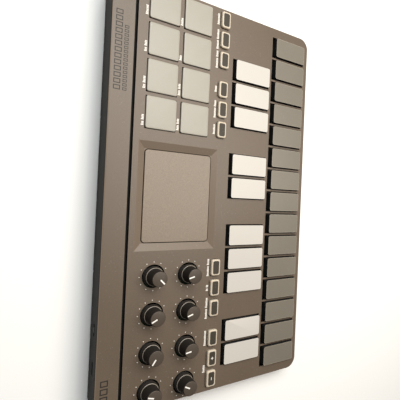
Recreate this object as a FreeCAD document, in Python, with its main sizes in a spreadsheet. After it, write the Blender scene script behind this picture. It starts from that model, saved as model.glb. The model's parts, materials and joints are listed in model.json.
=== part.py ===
import FreeCAD, Part
import math
import os
import Sketcher

# A compact keyboard controller: twenty-five low key caps, eight turning knobs, a touch plate,
# eight soft trigger pads and twelve small buttons in a wedge-shaped two-part case.
#
# The row frame has its origin under the middle of the case, +X to the player's right,
# +Y to the rear and +Z up.  Parts on the sloping top are drawn in the panel frame:
# its origin is the front left corner of the top face, x runs right, y up the slope,
# and z square to the face, so 0 is the top face and negative is inside the case.

Vector = FreeCAD.Vector
Placement = FreeCAD.Placement
Rotation = FreeCAD.Rotation

SIZES = [
    # the case
    ("case_width", 278.0, "left to right"),
    ("case_depth", 160.0, "front to rear"),
    ("front_height", 15.5, "bench to the front edge of the top"),
    ("top_slope", 2.5, "fall of the top towards the player, degrees"),
    ("corner_radius", 8.5, "upright corners of the case"),
    ("wall", 1.6, "side walls"),
    ("panel", 2.2, "thickness of the top"),
    ("floor", 2.0, "thickness of the bottom"),
    ("floor_height", 1.2, "underside of the bottom above the bench"),
    ("seam_height", 9.0, "joint between the two case halves"),
    ("edge_round", 0.9, "rounding of the top edge"),
    ("bottom_bevel", 1.5, "bevel round the underside"),
    ("seam_bevel", 0.25, "bevel that shows the joint between the halves"),
    ("gap", 0.3, "clearance between pieces that move past each other"),
    # the groove behind the controls
    ("groove_back", 16.15, "front edge of the groove from the rear edge, up the slope"),
    ("groove_width", 2.0, ""),
    ("groove_depth", 2.8, ""),
    ("rear_panel", 4.8, "thickness of the top behind the controls"),
    # keys
    ("key_pitch", 17.62, "one natural key to the next"),
    ("key_web", 1.3, "bar of the top between two key openings"),
    ("key_gap", 0.85, "gap at each side of a cap"),
    ("key_rise", 2.3, "cap above the top"),
    ("key_travel", 2.0, ""),
    ("key_corner", 1.3, "upright corners of a cap"),
    ("cap_wall", 1.5, "wall of a hollow cap"),
    ("natural_front", 4.7, "front edge of the natural openings"),
    ("natural_rear", 37.5, "rear edge of the natural openings"),
    ("natural_rear_gap", 2.7, "gap behind a natural cap"),
    ("sharp_front", 39.8, "front edge of the sharp openings"),
    ("sharp_rear", 73.4, "rear edge of the sharp openings"),
    ("sharp_rear_gap", 2.1, "gap behind a sharp cap"),
    ("skirt", 2.6, "cap wall below the top face"),
    ("flange", 1.1, "thickness of the bar that stops a cap lifting out"),
    ("flange_reach", 1.2, "reach of that bar under the top"),
    ("flange_width", 6.0, ""),
    # buttons
    ("button_width", 11.8, ""),
    ("button_depth", 7.2, ""),
    ("button_space", 2.84, "between two buttons of a group"),
    ("button_front", 77.8, "front edge of the buttons"),
    ("button_left", 3.55, "left edge of the left cluster"),
    ("button_end", 2.71, "right edge of the right cluster from the right side"),
    ("group_space", 9.67, "between the two groups of three"),
    ("button_corner", 1.8, ""),
    ("button_rise", 2.4, ""),
    ("button_travel", 0.8, ""),
    ("button_flange", 0.8, "reach and thickness of the flange under the top"),
    # knobs
    ("knob_left", 11.15, "middle of the first knob"),
    ("knob_front", 102.05, "middle of the front row"),
    ("knob_pitch", 25.1, "left to right"),
    ("knob_row", 24.6, "front row to rear row"),
    ("knob_hole", 7.8, "radius of the hole in the top"),
    ("knob_flange", 6.85, "radius of the rim round a knob's foot"),
    ("knob_body", 5.6, "radius above the rim"),
    ("knob_height", 11.8, "top of the knob above the top face"),
    ("rim_height", 1.6, "top of the rim above the top face"),
    ("knob_foot", 0.5, "underside of the rim above the top face"),
    ("slot_width", 1.0, "slot for the pointer"),
    ("slot_depth", 0.4, ""),
    ("slot_start", 0.6, "inner end of the slot from the axis"),
    ("shaft_grip", 7.8, "height of a knob's socket above the top face"),
    ("shaft_radius", 3.0, ""),
    ("shaft_flat", 1.6, "flat of the shaft from its axis"),
    ("shaft_play", 0.05, "running clearance round the shaft"),
    ("pot_width", 9.8, "body of a potentiometer, left to right"),
    ("pot_depth", 11.0, "front to rear"),
    ("pot_height", 6.0, ""),
    # trigger pads
    ("pad_end", 2.7, "right edge of the last pad from the right side"),
    ("pad_front", 92.35, "front edge of the front row"),
    ("pad_space", 2.8, "between two pads, left to right"),
    ("pad_row_space", 3.4, "between the two rows"),
    ("pad_width", 21.0, ""),
    ("pad_depth", 20.6, ""),
    ("pad_corner", 1.8, ""),
    ("pad_rise", 1.3, ""),
    ("pad_wall", 2.6, "wall of a hollow pad"),
    ("pad_sheet", 1.4, "sheet that joins the pads under the top"),
    ("sheet_margin", 2.3, "sheet beyond the pads at the front and left"),
    ("sheet_right", 0.4, "at the right"),
    ("sheet_rear", 1.0, "at the rear"),
    # touch plate
    ("recess_front", 83.0, "front edge of the bevelled recess"),
    ("bevel_side", 4.9, "width of its left and right bevels"),
    ("bevel_end", 4.35, "width of its front and rear bevels"),
    ("recess_drop", 1.5, "foot of the bevel below the top face"),
    ("plate_width", 60.9, ""),
    ("plate_depth", 47.6, ""),
    ("plate_thick", 1.6, ""),
    ("plate_proud", 0.5, "plate above the foot of the bevel"),
    ("plate_gap", 0.5, "gap round the plate"),
    ("plate_corner", 2.2, ""),
    ("plate_bevel", 0.25, ""),
    ("seat", 1.3, "material under the plate"),
    # inside
    ("board_drop", 10.5, "top of the board below the top face"),
    ("board", 1.2, "thickness of the circuit board"),
    ("board_side", 7.0, "board from the sides of the case"),
    ("board_front", 6.0, "board from the front edge"),
    ("chip", 1.2, "height of the chips"),
    ("mat", 1.0, "thickness of the rubber contact mat"),
    ("dome", 1.5, "height of a contact pressed flat"),
    ("contact_side", 5.0, "side of a contact"),
    ("plunger_side", 4.0, "side of the post that presses a contact"),
    ("rib_span", 4.2, "cross-shaped pillars, tip to tip"),
    ("rib", 1.2, "thickness of their ribs"),
    ("boss_radius", 3.0, "screw posts"),
    ("pilot_radius", 1.3, ""),
    ("post_split", 5.2, "meeting height of upper and lower screw posts"),
    ("screw_radius", 1.25, ""),
    ("screw_length", 8.0, ""),
    ("head_radius", 2.3, ""),
    ("head_height", 1.4, ""),
    ("post_front", 56.0, "front line of screws"),
    ("post_back", 10.0, "rear line of screws from the rear edge"),
    ("post_side", 12.0, "outer rear screws from the sides"),
    ("post_bay", 13.5, "inner rear screws from the battery bay"),
    ("post_wall", 3.6, "radius of the lower posts"),
    ("foot_radius", 6.0, ""),
    ("foot_seat", 0.6, "depth of the seat that a foot is glued into"),
    ("foot_front", 12.0, "front feet from the front edge"),
    ("foot_back", 14.0, "rear feet from the rear edge"),
    ("foot_side", 26.0, "feet from the sides"),
    # power
    ("cell_radius", 5.2, ""),
    ("cell_length", 43.4, "without the button"),
    ("nub_radius", 1.9, ""),
    ("nub_length", 1.0, ""),
    ("contact_room", 3.0, "room for a contact at each end of the cells"),
    ("bay_back", 10.5, "middle of the cells from the rear edge"),
    ("bay_wall", 1.3, ""),
    ("door_length", 19.5, "front to rear"),
    ("door_overlap", 2.0, "door beyond each end of the bay"),
    ("tongue", 1.2, "reach of the door's side tongues"),
    ("tongue_thick", 0.9, ""),
    ("rail", 3.2, "width of the rails that hold the tongues"),
    ("rail_height", 2.4, "rails above the floor"),
    ("socket_centre", 30.0, "middle of the data and power socket from the left"),
    ("socket_width", 7.6, ""),
    ("socket_height", 2.7, ""),
    ("socket_depth", 5.6, ""),
    ("switch_centre", 54.0, "middle of the power switch from the left"),
    ("switch_width", 8.6, ""),
    ("switch_height", 3.6, ""),
    ("switch_depth", 4.0, ""),
    ("slider_width", 3.0, ""),
    ("slider_set", 0.2, "slider inside the face of the rear wall"),
    ("slider_travel", 2.0, "each way from the middle"),
]

# natural keys whose right edge carries a sharp key, and those whose right edge has none
SHARP_AFTER = (1, 2, 4, 5, 6, 8, 9, 11, 12, 13)
POSTS_AFTER = (3, 7, 10, 14)
NATURALS = 15
BUTTON_NAMES = (
    "octave_down_button", "octave_up_button", "sustain_button",
    "touch_scale_button", "touch_xy_button", "pitch_mod_button",
    "scene_button", "shift_button", "arp_button",
    "chord_pad_button", "scale_guide_button", "repeat_button",
)
# where each knob was left, degrees anticlockwise from straight back; front row, then rear row
KNOB_TURNS = (-29.0, 8.0, 18.0, 15.0, -18.0, 56.0, 26.0, 134.0)

doc = FreeCAD.newDocument("keyboard")
sheet = doc.addObject("Spreadsheet::Sheet", "Sizes")
for row, (alias, size, meaning) in enumerate(SIZES, start=1):
    sheet.set("A%d" % row, alias)
    sheet.set("B%d" % row, str(size))
    sheet.setAlias("B%d" % row, alias)
    sheet.set("C%d" % row, meaning)
doc.recompute()

parts = {}

# lengths that several pieces share
SLOPE = "Sizes.top_slope * 1deg"
RISE = "tan(%s)" % SLOPE
SLOPE_LENGTH = "Sizes.case_depth / cos(%s)" % SLOPE
GROOVE_FRONT = "(%s - Sizes.groove_back)" % SLOPE_LENGTH
KEYS_LEFT = "(Sizes.case_width / 2 - %g * Sizes.key_pitch)" % (NATURALS / 2)
BUTTON_PITCH = "(Sizes.button_width + Sizes.button_space)"
GROUP_SPAN = "(2 * %s + Sizes.button_width)" % BUTTON_PITCH
GROUP_PITCH = "(%s + Sizes.group_space)" % GROUP_SPAN
BUTTONS_SPAN = "(%s + %s)" % (GROUP_PITCH, GROUP_SPAN)
BUTTONS_RIGHT = "(Sizes.case_width - Sizes.button_end - %s)" % BUTTONS_SPAN
PAD_PITCH = "(Sizes.pad_width + Sizes.pad_space)"
PAD_ROW = "(Sizes.pad_depth + Sizes.pad_row_space)"
PADS_WIDTH = "(3 * %s + Sizes.pad_width)" % PAD_PITCH
PADS_LEFT = "(Sizes.case_width - Sizes.pad_end - %s)" % PADS_WIDTH
BOARD_TOP = "-Sizes.board_drop"
DOME_TOP = "(Sizes.mat + Sizes.dome - Sizes.board_drop)"
BAY_LENGTH = "(2 * Sizes.cell_length + 2 * Sizes.nub_length + 2 * Sizes.contact_room)"
BAY_LEFT = "(Sizes.case_width / 2 - %s / 2)" % BAY_LENGTH
BAY_DEPTH = "(2 * Sizes.cell_radius + 2 * Sizes.gap)"
BAY_MIDDLE = "(Sizes.case_depth - Sizes.bay_back)"
BAY_FRONT = "(%s - %s / 2)" % (BAY_MIDDLE, BAY_DEPTH)
CELL_HEIGHT = "(Sizes.floor_height + Sizes.floor + 2 * Sizes.gap + Sizes.cell_radius)"
POSTS_REAR = "(Sizes.case_depth - Sizes.post_back)"
BAY_ROOF = "(%s + Sizes.cell_radius + Sizes.gap)" % CELL_HEIGHT
DOOR_LEFT = "(%s - Sizes.door_overlap)" % BAY_LEFT
DOOR_WIDTH = "(%s + 2 * Sizes.door_overlap)" % BAY_LENGTH
DOOR_FRONT = "(Sizes.case_depth - Sizes.door_length)"
KEY_WIDTH = "(Sizes.key_pitch - Sizes.key_web - 2 * Sizes.key_gap)"
RECESS_WIDTH = "(Sizes.plate_width + 2 * Sizes.plate_gap + 2 * Sizes.bevel_side)"
RECESS_DEPTH = "(Sizes.plate_depth + 2 * Sizes.plate_gap + 2 * Sizes.bevel_end)"
RECESS_LEFT = "(Sizes.case_width / 2 - %s / 2)" % RECESS_WIDTH
PLATE_LEFT = "(Sizes.case_width / 2 - Sizes.plate_width / 2)"
PLATE_FRONT = "(Sizes.recess_front + Sizes.bevel_end + Sizes.plate_gap)"
PLATE_BOTTOM = "(Sizes.recess_drop - Sizes.plate_proud + Sizes.plate_thick)"


def number(expression):
    """The value of an expression on the sheet."""
    return float(sheet.evalExpression(expression.replace("Sizes.", "")))


def new_body(label, compound=False):
    body = doc.addObject("PartDesign::Body", label)
    body.Label = label
    body.AllowCompound = compound
    return body


def new_sketch(body, height="0", tilted=False, role="XY_Plane"):
    """A sketch on one of the body's own planes, raised by height, or lying in the panel's slope."""
    sketch = body.newObject("Sketcher::SketchObject", body.Label + "_sketch")
    planes = [plane for plane in body.Origin.OriginFeatures if plane.Role == role]
    sketch.AttachmentSupport = [(planes[0], "")]
    sketch.MapMode = "FlatFace"
    if tilted:
        sketch.AttachmentOffset = Placement(Vector(), Rotation(Vector(1, 0, 0), 1))
        sketch.setExpression("AttachmentOffset.Rotation.Angle", SLOPE)
        sketch.setExpression("AttachmentOffset.Base.y", "-(%s) * sin(%s)" % (height, SLOPE))
        sketch.setExpression(
            "AttachmentOffset.Base.z", "Sizes.front_height + (%s) * cos(%s)" % (height, SLOPE)
        )
    else:
        sketch.setExpression("AttachmentOffset.Base.z", height)
    return sketch


def bind(sketch, start, sizes):
    """Name the constraints from start on, and tie each one to its expression."""
    for index, (name, expression) in enumerate(sizes, start=start):
        sketch.renameConstraint(index, name)
        sketch.setExpression("Constraints." + name, expression)


def add_polygon(sketch, name, corners):
    """A closed outline whose corners are given as pairs of expressions."""
    points = [Vector(number(x), number(y), 0) for x, y in corners]
    first = sketch.GeometryCount
    count = len(points)
    for index, point in enumerate(points):
        sketch.addGeometry(Part.LineSegment(point, points[(index + 1) % count]), False)
    joined, placed, sizes = [], [], []
    for index, point in enumerate(points):
        line = first + index
        following = first + (index + 1) % count
        joined.append(Sketcher.Constraint("Coincident", line, 2, following, 1))
        placed.append(Sketcher.Constraint("DistanceX", -1, 1, line, 1, point.x))
        placed.append(Sketcher.Constraint("DistanceY", -1, 1, line, 1, point.y))
        sizes.append(("%s_x%d" % (name, index), corners[index][0]))
        sizes.append(("%s_y%d" % (name, index), corners[index][1]))
    start = sketch.ConstraintCount + count
    sketch.addConstraint(joined + placed)
    bind(sketch, start, sizes)


def add_box(sketch, name, left, front, width, depth):
    """A rectangle."""
    right = "(%s) + (%s)" % (left, width)
    rear = "(%s) + (%s)" % (front, depth)
    add_polygon(sketch, name, [(left, front), (right, front), (right, rear), (left, rear)])


def add_rounded_box(sketch, name, left, front, width, depth, radius):
    """A rectangle with four equal rounded corners."""
    x0, y0 = number(left), number(front)
    x1, y1 = x0 + number(width), y0 + number(depth)
    r = number(radius)
    first = sketch.GeometryCount
    lines = [
        (Vector(x0 + r, y0, 0), Vector(x1 - r, y0, 0)),
        (Vector(x1, y0 + r, 0), Vector(x1, y1 - r, 0)),
        (Vector(x1 - r, y1, 0), Vector(x0 + r, y1, 0)),
        (Vector(x0, y1 - r, 0), Vector(x0, y0 + r, 0)),
    ]
    centres = [(x1 - r, y0 + r), (x1 - r, y1 - r), (x0 + r, y1 - r), (x0 + r, y0 + r)]
    for start, end in lines:
        sketch.addGeometry(Part.LineSegment(start, end), False)
    for index, (x, y) in enumerate(centres):
        circle = Part.Circle(Vector(x, y, 0), Vector(0, 0, 1), r)
        turn = (index - 1) * math.pi / 2
        sketch.addGeometry(Part.ArcOfCircle(circle, turn, turn + math.pi / 2), False)
    constraints = []
    for index in range(4):
        arc = first + 4 + index
        constraints.append(Sketcher.Constraint("Tangent", first + index, 2, arc, 1))
        constraints.append(Sketcher.Constraint("Tangent", arc, 2, first + (index + 1) % 4, 1))
    for index in range(4):
        straight = "Horizontal" if index % 2 == 0 else "Vertical"
        constraints.append(Sketcher.Constraint(straight, first + index))
    for index in range(1, 4):
        constraints.append(Sketcher.Constraint("Equal", first + 4, first + 4 + index))
    start = sketch.ConstraintCount + len(constraints)
    constraints.append(Sketcher.Constraint("Radius", first + 4, r))
    constraints.append(Sketcher.Constraint("DistanceX", -1, 1, first + 3, 2, x0))
    constraints.append(Sketcher.Constraint("DistanceY", -1, 1, first, 1, y0))
    constraints.append(Sketcher.Constraint("DistanceX", first + 3, 2, first + 1, 1, x1 - x0))
    constraints.append(Sketcher.Constraint("DistanceY", first, 1, first + 2, 1, y1 - y0))
    sketch.addConstraint(constraints)
    sizes = [("radius", radius), ("left", left), ("front", front), ("width", width), ("depth", depth)]
    bind(sketch, start, [("%s_%s" % (name, word), expression) for word, expression in sizes])


def add_circle(sketch, name, x, y, radius):
    """A circle."""
    centre = Vector(number(x), number(y), 0)
    circle = sketch.addGeometry(Part.Circle(centre, Vector(0, 0, 1), number(radius)), False)
    start = sketch.ConstraintCount
    sketch.addConstraint([
        Sketcher.Constraint("DistanceX", -1, 1, circle, 3, centre.x),
        Sketcher.Constraint("DistanceY", -1, 1, circle, 3, centre.y),
        Sketcher.Constraint("Radius", circle, number(radius)),
    ])
    bind(sketch, start, [(name + "_x", x), (name + "_y", y), (name + "_radius", radius)])


def add_shaft_outline(sketch, name, radius, flat):
    """A round shaft's outline with one flat, on the sketch's origin."""
    r, cut = number(radius), number(flat)
    half = math.acos(cut / r)
    rim = Part.Circle(Vector(), Vector(0, 0, 1), r)
    arc = sketch.addGeometry(Part.ArcOfCircle(rim, half, 2 * math.pi - half), False)
    chord = Part.LineSegment(
        Vector(cut, -r * math.sin(half), 0), Vector(cut, r * math.sin(half), 0)
    )
    line = sketch.addGeometry(chord, False)
    sketch.addConstraint([
        Sketcher.Constraint("Coincident", arc, 3, -1, 1),
        Sketcher.Constraint("Coincident", arc, 2, line, 1),
        Sketcher.Constraint("Coincident", line, 2, arc, 1),
        Sketcher.Constraint("Vertical", line),
    ])
    start = sketch.ConstraintCount
    sketch.addConstraint([
        Sketcher.Constraint("Radius", arc, r),
        Sketcher.Constraint("DistanceX", -1, 1, line, 1, cut),
    ])
    bind(sketch, start, [(name + "_radius", radius), (name + "_flat", flat)])


def pad(body, sketch, length):
    """Raise the sketch by length, along its own normal."""
    feature = body.newObject("PartDesign::Pad", body.Label + "_pad")
    feature.Profile = sketch
    feature.setExpression("Length", length)
    sketch.Visibility = False
    return feature


def pocket(body, sketch, length, upward=False):
    """Cut the sketch into the body, down from its plane or upward, and see that it cut."""
    doc.recompute()
    before = body.Shape.Volume
    feature = body.newObject("PartDesign::Pocket", body.Label + "_pocket")
    feature.Profile = sketch
    feature.setExpression("Length", length)
    feature.Reversed = upward
    doc.recompute()
    if not body.Shape.Volume < before - 1e-3:
        raise RuntimeError("a pocket of %s cut nothing" % body.Label)
    return feature


def dress(body, kind, edges, size):
    """Chamfer or fillet the edges of the body's last feature that the test picks."""
    doc.recompute()
    base = body.Tip
    names = ["Edge%d" % (i + 1) for i, edge in enumerate(base.Shape.Edges) if edges(edge)]
    feature = body.newObject("PartDesign::" + kind, body.Label + "_" + kind.lower())
    feature.Base = (base, names)
    feature.setExpression("Size" if kind == "Chamfer" else "Radius", size)
    return feature


def level_edges(height):
    """A test for the edges that lie level at this height."""
    def test(edge):
        box = edge.BoundBox
        return abs(box.ZMin - height) < 1e-4 and abs(box.ZMax - height) < 1e-4
    return test


def on_panel(x, y, turn=0.0):
    """The place of a piece drawn at the panel frame's origin and put at x, y on the top."""
    corner = Vector(-number("case_width") / 2, -number("case_depth") / 2, number("front_height"))
    panel = Placement(corner, Rotation(Vector(1, 0, 0), number("top_slope")))
    return panel.multiply(Placement(Vector(number(x), number(y), 0), Rotation(Vector(0, 0, 1), turn)))


def on_base():
    """The place of a piece drawn from the front left corner of the case at bench height."""
    return Placement(Vector(-number("case_width") / 2, -number("case_depth") / 2, 0), Rotation())


def key_left(index):
    """Left edge of a natural key's space, counted from 0."""
    return "(%s + %d * Sizes.key_pitch)" % (KEYS_LEFT, index)


def sharp_left(boundary):
    """Left edge of the space of the sharp key behind this boundary."""
    return "(%s + %g * Sizes.key_pitch)" % (KEYS_LEFT, boundary - 0.5)


def key_spaces(kind):
    """Each natural or sharp key: its name, and the left edge of its space."""
    if kind == "natural":
        for index in range(NATURALS):
            yield "natural_key_%02d" % (index + 1), key_left(index)
    else:
        for count, boundary in enumerate(SHARP_AFTER, start=1):
            yield "sharp_key_%02d" % count, sharp_left(boundary)


def key_ends(kind):
    """Front and rear of the openings of the natural or the sharp keys."""
    return "Sizes.%s_front" % kind, "Sizes.%s_rear" % kind


def button_places():
    """Each button: its name and left edge."""
    for index, name in enumerate(BUTTON_NAMES):
        side = "Sizes.button_left" if index < 6 else BUTTONS_RIGHT
        group, place = (index % 6) // 3, index % 3
        left = "(%s + %d * %s + %d * %s)" % (side, group, GROUP_PITCH, place, BUTTON_PITCH)
        yield name, left


def grid(left, front, pitch, row):
    """The corners or middles of two rows of four, front row first."""
    for line in range(2):
        for column in range(4):
            yield "(%s + %d * %s)" % (left, column, pitch), "(%s + %d * %s)" % (front, line, row)


def knob_places():
    return list(grid("Sizes.knob_left", "Sizes.knob_front", "Sizes.knob_pitch", "Sizes.knob_row"))


def pad_places():
    return list(grid(PADS_LEFT, "Sizes.pad_front", PAD_PITCH, PAD_ROW))


def post_places():
    """The eight screws: four between the sharp keys and four along the rear."""
    rear = (
        "Sizes.post_side",
        "%s - Sizes.post_bay" % BAY_LEFT,
        "%s + %s + Sizes.post_bay" % (BAY_LEFT, BAY_LENGTH),
        "Sizes.case_width - Sizes.post_side",
    )
    places = [(key_left(boundary), "Sizes.post_front") for boundary in POSTS_AFTER]
    places += [(x, POSTS_REAR) for x in rear]
    return places


def pillar_places():
    """Plain pillars that hold the board off the top, clear of every key and button."""
    between = "(%s + Sizes.group_space / 2)" % GROUP_SPAN
    buttons_middle = "Sizes.button_front + Sizes.button_depth / 2"
    recess_right = "(%s + %s)" % (RECESS_LEFT, RECESS_WIDTH)
    sheet_left = "(%s - Sizes.sheet_margin)" % PADS_LEFT
    beside = "Sizes.rib_span"
    rear = "%s - 2 * %s" % (GROOVE_FRONT, beside)
    return [
        ("Sizes.button_left + %s" % between, buttons_middle),
        ("Sizes.case_width / 2", "Sizes.recess_front - %s" % beside),
        ("%s + %s" % (BUTTONS_RIGHT, between), buttons_middle),
        ("%s - %s" % (RECESS_LEFT, beside), rear),
        ("(%s + %s) / 2" % (recess_right, sheet_left), rear),
    ]


def add_cross(sketch, name, x, y, extra="0"):
    """The outline of a cross-shaped pillar, or of the hole round it with some extra all round."""
    tip = "(Sizes.rib_span / 2 + %s)" % extra
    side = "(Sizes.rib / 2 + %s)" % extra
    # the quarter from the rib's left tip to its front tip, then the same quarter turned three times
    quarter = [("-", tip, "-", side), ("-", side, "-", side), ("-", side, "-", tip)]
    opposite = {"-": "+", "+": "-"}
    outline = []
    for step in range(4):
        outline += quarter
        quarter = [(opposite[along], far, across, near) for across, near, along, far in quarter]
    add_polygon(sketch, name, [
        ("%s %s %s" % (x, across, near), "%s %s %s" % (y, along, far))
        for across, near, along, far in outline
    ])


def upper_case():
    """The moulded upper half: sloping top, side walls, openings, screw posts and pillars."""
    body = new_body("upper_case")
    sketch = new_sketch(body, "Sizes.seam_height")
    add_rounded_box(sketch, "outline", "0", "0", "Sizes.case_width", "Sizes.case_depth", "Sizes.corner_radius")
    pad(body, sketch, "Sizes.front_height + Sizes.case_depth * %s + 2 - Sizes.seam_height" % RISE)
    sketch = new_sketch(body, tilted=True)
    add_box(sketch, "slope", "-5", "-5", "Sizes.case_width + 10", "Sizes.case_depth + 10")
    pocket(body, sketch, "Sizes.case_depth", upward=True)

    def top_edges(edge):
        slope = number(RISE)
        height = number("front_height")
        return all(abs(v.Z - height - v.Y * slope) < 1e-4 for v in edge.Vertexes)

    dress(body, "Fillet", top_edges, "Sizes.edge_round")

    # the hollow under the top, shallower behind the groove where the top is thicker
    step = "(%s - 1)" % GROOVE_FRONT
    inside = "(Sizes.corner_radius - Sizes.wall)"
    sketch = new_sketch(body, "-Sizes.rear_panel", tilted=True)
    add_rounded_box(
        sketch, "rear_hollow", "Sizes.wall", "Sizes.wall", "Sizes.case_width - 2 * Sizes.wall",
        "%s - 2 * Sizes.wall" % SLOPE_LENGTH, inside,
    )
    pocket(body, sketch, "Sizes.case_depth")
    sketch = new_sketch(body, "-Sizes.panel", tilted=True)
    add_rounded_box(
        sketch, "hollow", "Sizes.wall", "Sizes.wall", "Sizes.case_width - 2 * Sizes.wall",
        "%s - Sizes.wall" % step, inside,
    )
    pocket(body, sketch, "Sizes.rear_panel - Sizes.panel + 0.5")

    sketch = new_sketch(body, tilted=True)
    add_box(sketch, "groove", "-5", GROOVE_FRONT, "Sizes.case_width + 10", "Sizes.groove_width")
    pocket(body, sketch, "Sizes.groove_depth")

    # thicker ground under the touch plate, then the bevelled recess and the plate's seat
    margin = "2"
    sketch = new_sketch(body, "-(%s + Sizes.seat)" % PLATE_BOTTOM, tilted=True)
    add_box(
        sketch, "ground", "%s - %s" % (PLATE_LEFT, margin), "%s - %s" % (PLATE_FRONT, margin),
        "Sizes.plate_width + 2 * %s" % margin, "Sizes.plate_depth + 2 * %s" % margin,
    )
    pad(body, sketch, "%s + Sizes.seat - Sizes.panel + 0.2" % PLATE_BOTTOM)
    wide = new_sketch(body, tilted=True)
    add_box(wide, "recess", RECESS_LEFT, "Sizes.recess_front", RECESS_WIDTH, RECESS_DEPTH)
    narrow = new_sketch(body, "-Sizes.recess_drop", tilted=True)
    around = (
        "%s - Sizes.plate_gap" % PLATE_LEFT, "%s - Sizes.plate_gap" % PLATE_FRONT,
        "Sizes.plate_width + 2 * Sizes.plate_gap", "Sizes.plate_depth + 2 * Sizes.plate_gap",
    )
    add_box(narrow, "foot", *around)
    doc.recompute()
    bevel = body.newObject("PartDesign::SubtractiveLoft", "touch_recess")
    bevel.Profile = wide
    bevel.Sections = [narrow]
    sketch = new_sketch(body, tilted=True)
    add_rounded_box(sketch, "seat", *around, "Sizes.plate_corner + Sizes.plate_gap")
    pocket(body, sketch, PLATE_BOTTOM)

    # openings for keys, buttons, knobs and pads
    for kind in ("natural", "sharp"):
        front, rear = key_ends(kind)
        sketch = new_sketch(body, tilted=True)
        for name, left in key_spaces(kind):
            add_box(
                sketch, name, "%s + Sizes.key_web / 2" % left, front,
                "Sizes.key_pitch - Sizes.key_web", "%s - %s" % (rear, front),
            )
        pocket(body, sketch, "Sizes.panel + 1")
    sketch = new_sketch(body, tilted=True)
    for name, left in button_places():
        add_rounded_box(
            sketch, name, "%s - Sizes.gap" % left, "Sizes.button_front - Sizes.gap",
            "Sizes.button_width + 2 * Sizes.gap", "Sizes.button_depth + 2 * Sizes.gap",
            "Sizes.button_corner + Sizes.gap",
        )
    pocket(body, sketch, "Sizes.panel + 1")
    sketch = new_sketch(body, tilted=True)
    for index, (x, y) in enumerate(knob_places(), start=1):
        add_circle(sketch, "knob_%d" % index, x, y, "Sizes.knob_hole")
    for index, (x, y) in enumerate(pad_places(), start=1):
        add_box(
            sketch, "pad_%d" % index, "%s - Sizes.gap" % x, "%s - Sizes.gap" % y,
            "Sizes.pad_width + 2 * Sizes.gap", "Sizes.pad_depth + 2 * Sizes.gap",
        )
    pocket(body, sketch, "Sizes.panel + 0.1")

    # screw posts stand upright on the seam side; pillars stand square to the top
    for line, first in (("Sizes.post_front", 0), (POSTS_REAR, 4)):
        sketch = new_sketch(body, "Sizes.post_split")
        for index, (x, y) in enumerate(post_places()[first:first + 4], start=1):
            add_circle(sketch, "post_%d" % index, x, y, "Sizes.boss_radius")
        pad(body, sketch, "Sizes.front_height + %s * %s - 1.2 - Sizes.post_split" % (line, RISE))
    sketch = new_sketch(body, "Sizes.post_split")
    for index, (x, y) in enumerate(post_places(), start=1):
        add_circle(sketch, "pilot_%d" % index, x, y, "Sizes.pilot_radius")
    pocket(body, sketch, "Sizes.screw_length", upward=True)
    sketch = new_sketch(body, BOARD_TOP, tilted=True)
    for index, (x, y) in enumerate(pillar_places(), start=1):
        add_cross(sketch, "pillar_%d" % index, x, y)
    pad(body, sketch, "Sizes.board_drop - Sizes.panel + 0.5")

    # rear wall: mouth of the socket and slot of the power switch
    mouth = "(Sizes.front_height + Sizes.case_depth * %s - Sizes.board_drop)" % RISE
    sketch = new_sketch(body, "-(Sizes.case_depth - 2 * Sizes.wall)", role="XZ_Plane")
    add_box(
        sketch, "socket", "Sizes.socket_centre - Sizes.socket_width / 2 - Sizes.gap",
        "%s - Sizes.gap" % mouth, "Sizes.socket_width + 2 * Sizes.gap", "Sizes.socket_height + 2 * Sizes.gap",
    )
    add_box(
        sketch, "switch", "Sizes.switch_centre - Sizes.slider_width / 2 - Sizes.slider_travel - Sizes.gap",
        "%s + 0.5" % mouth, "Sizes.slider_width + 2 * Sizes.slider_travel + 2 * Sizes.gap",
        "Sizes.switch_height - 1",
    )
    pocket(body, sketch, "3 * Sizes.wall")
    body.Placement = on_base()
    parts["upper_case"] = body


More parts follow.
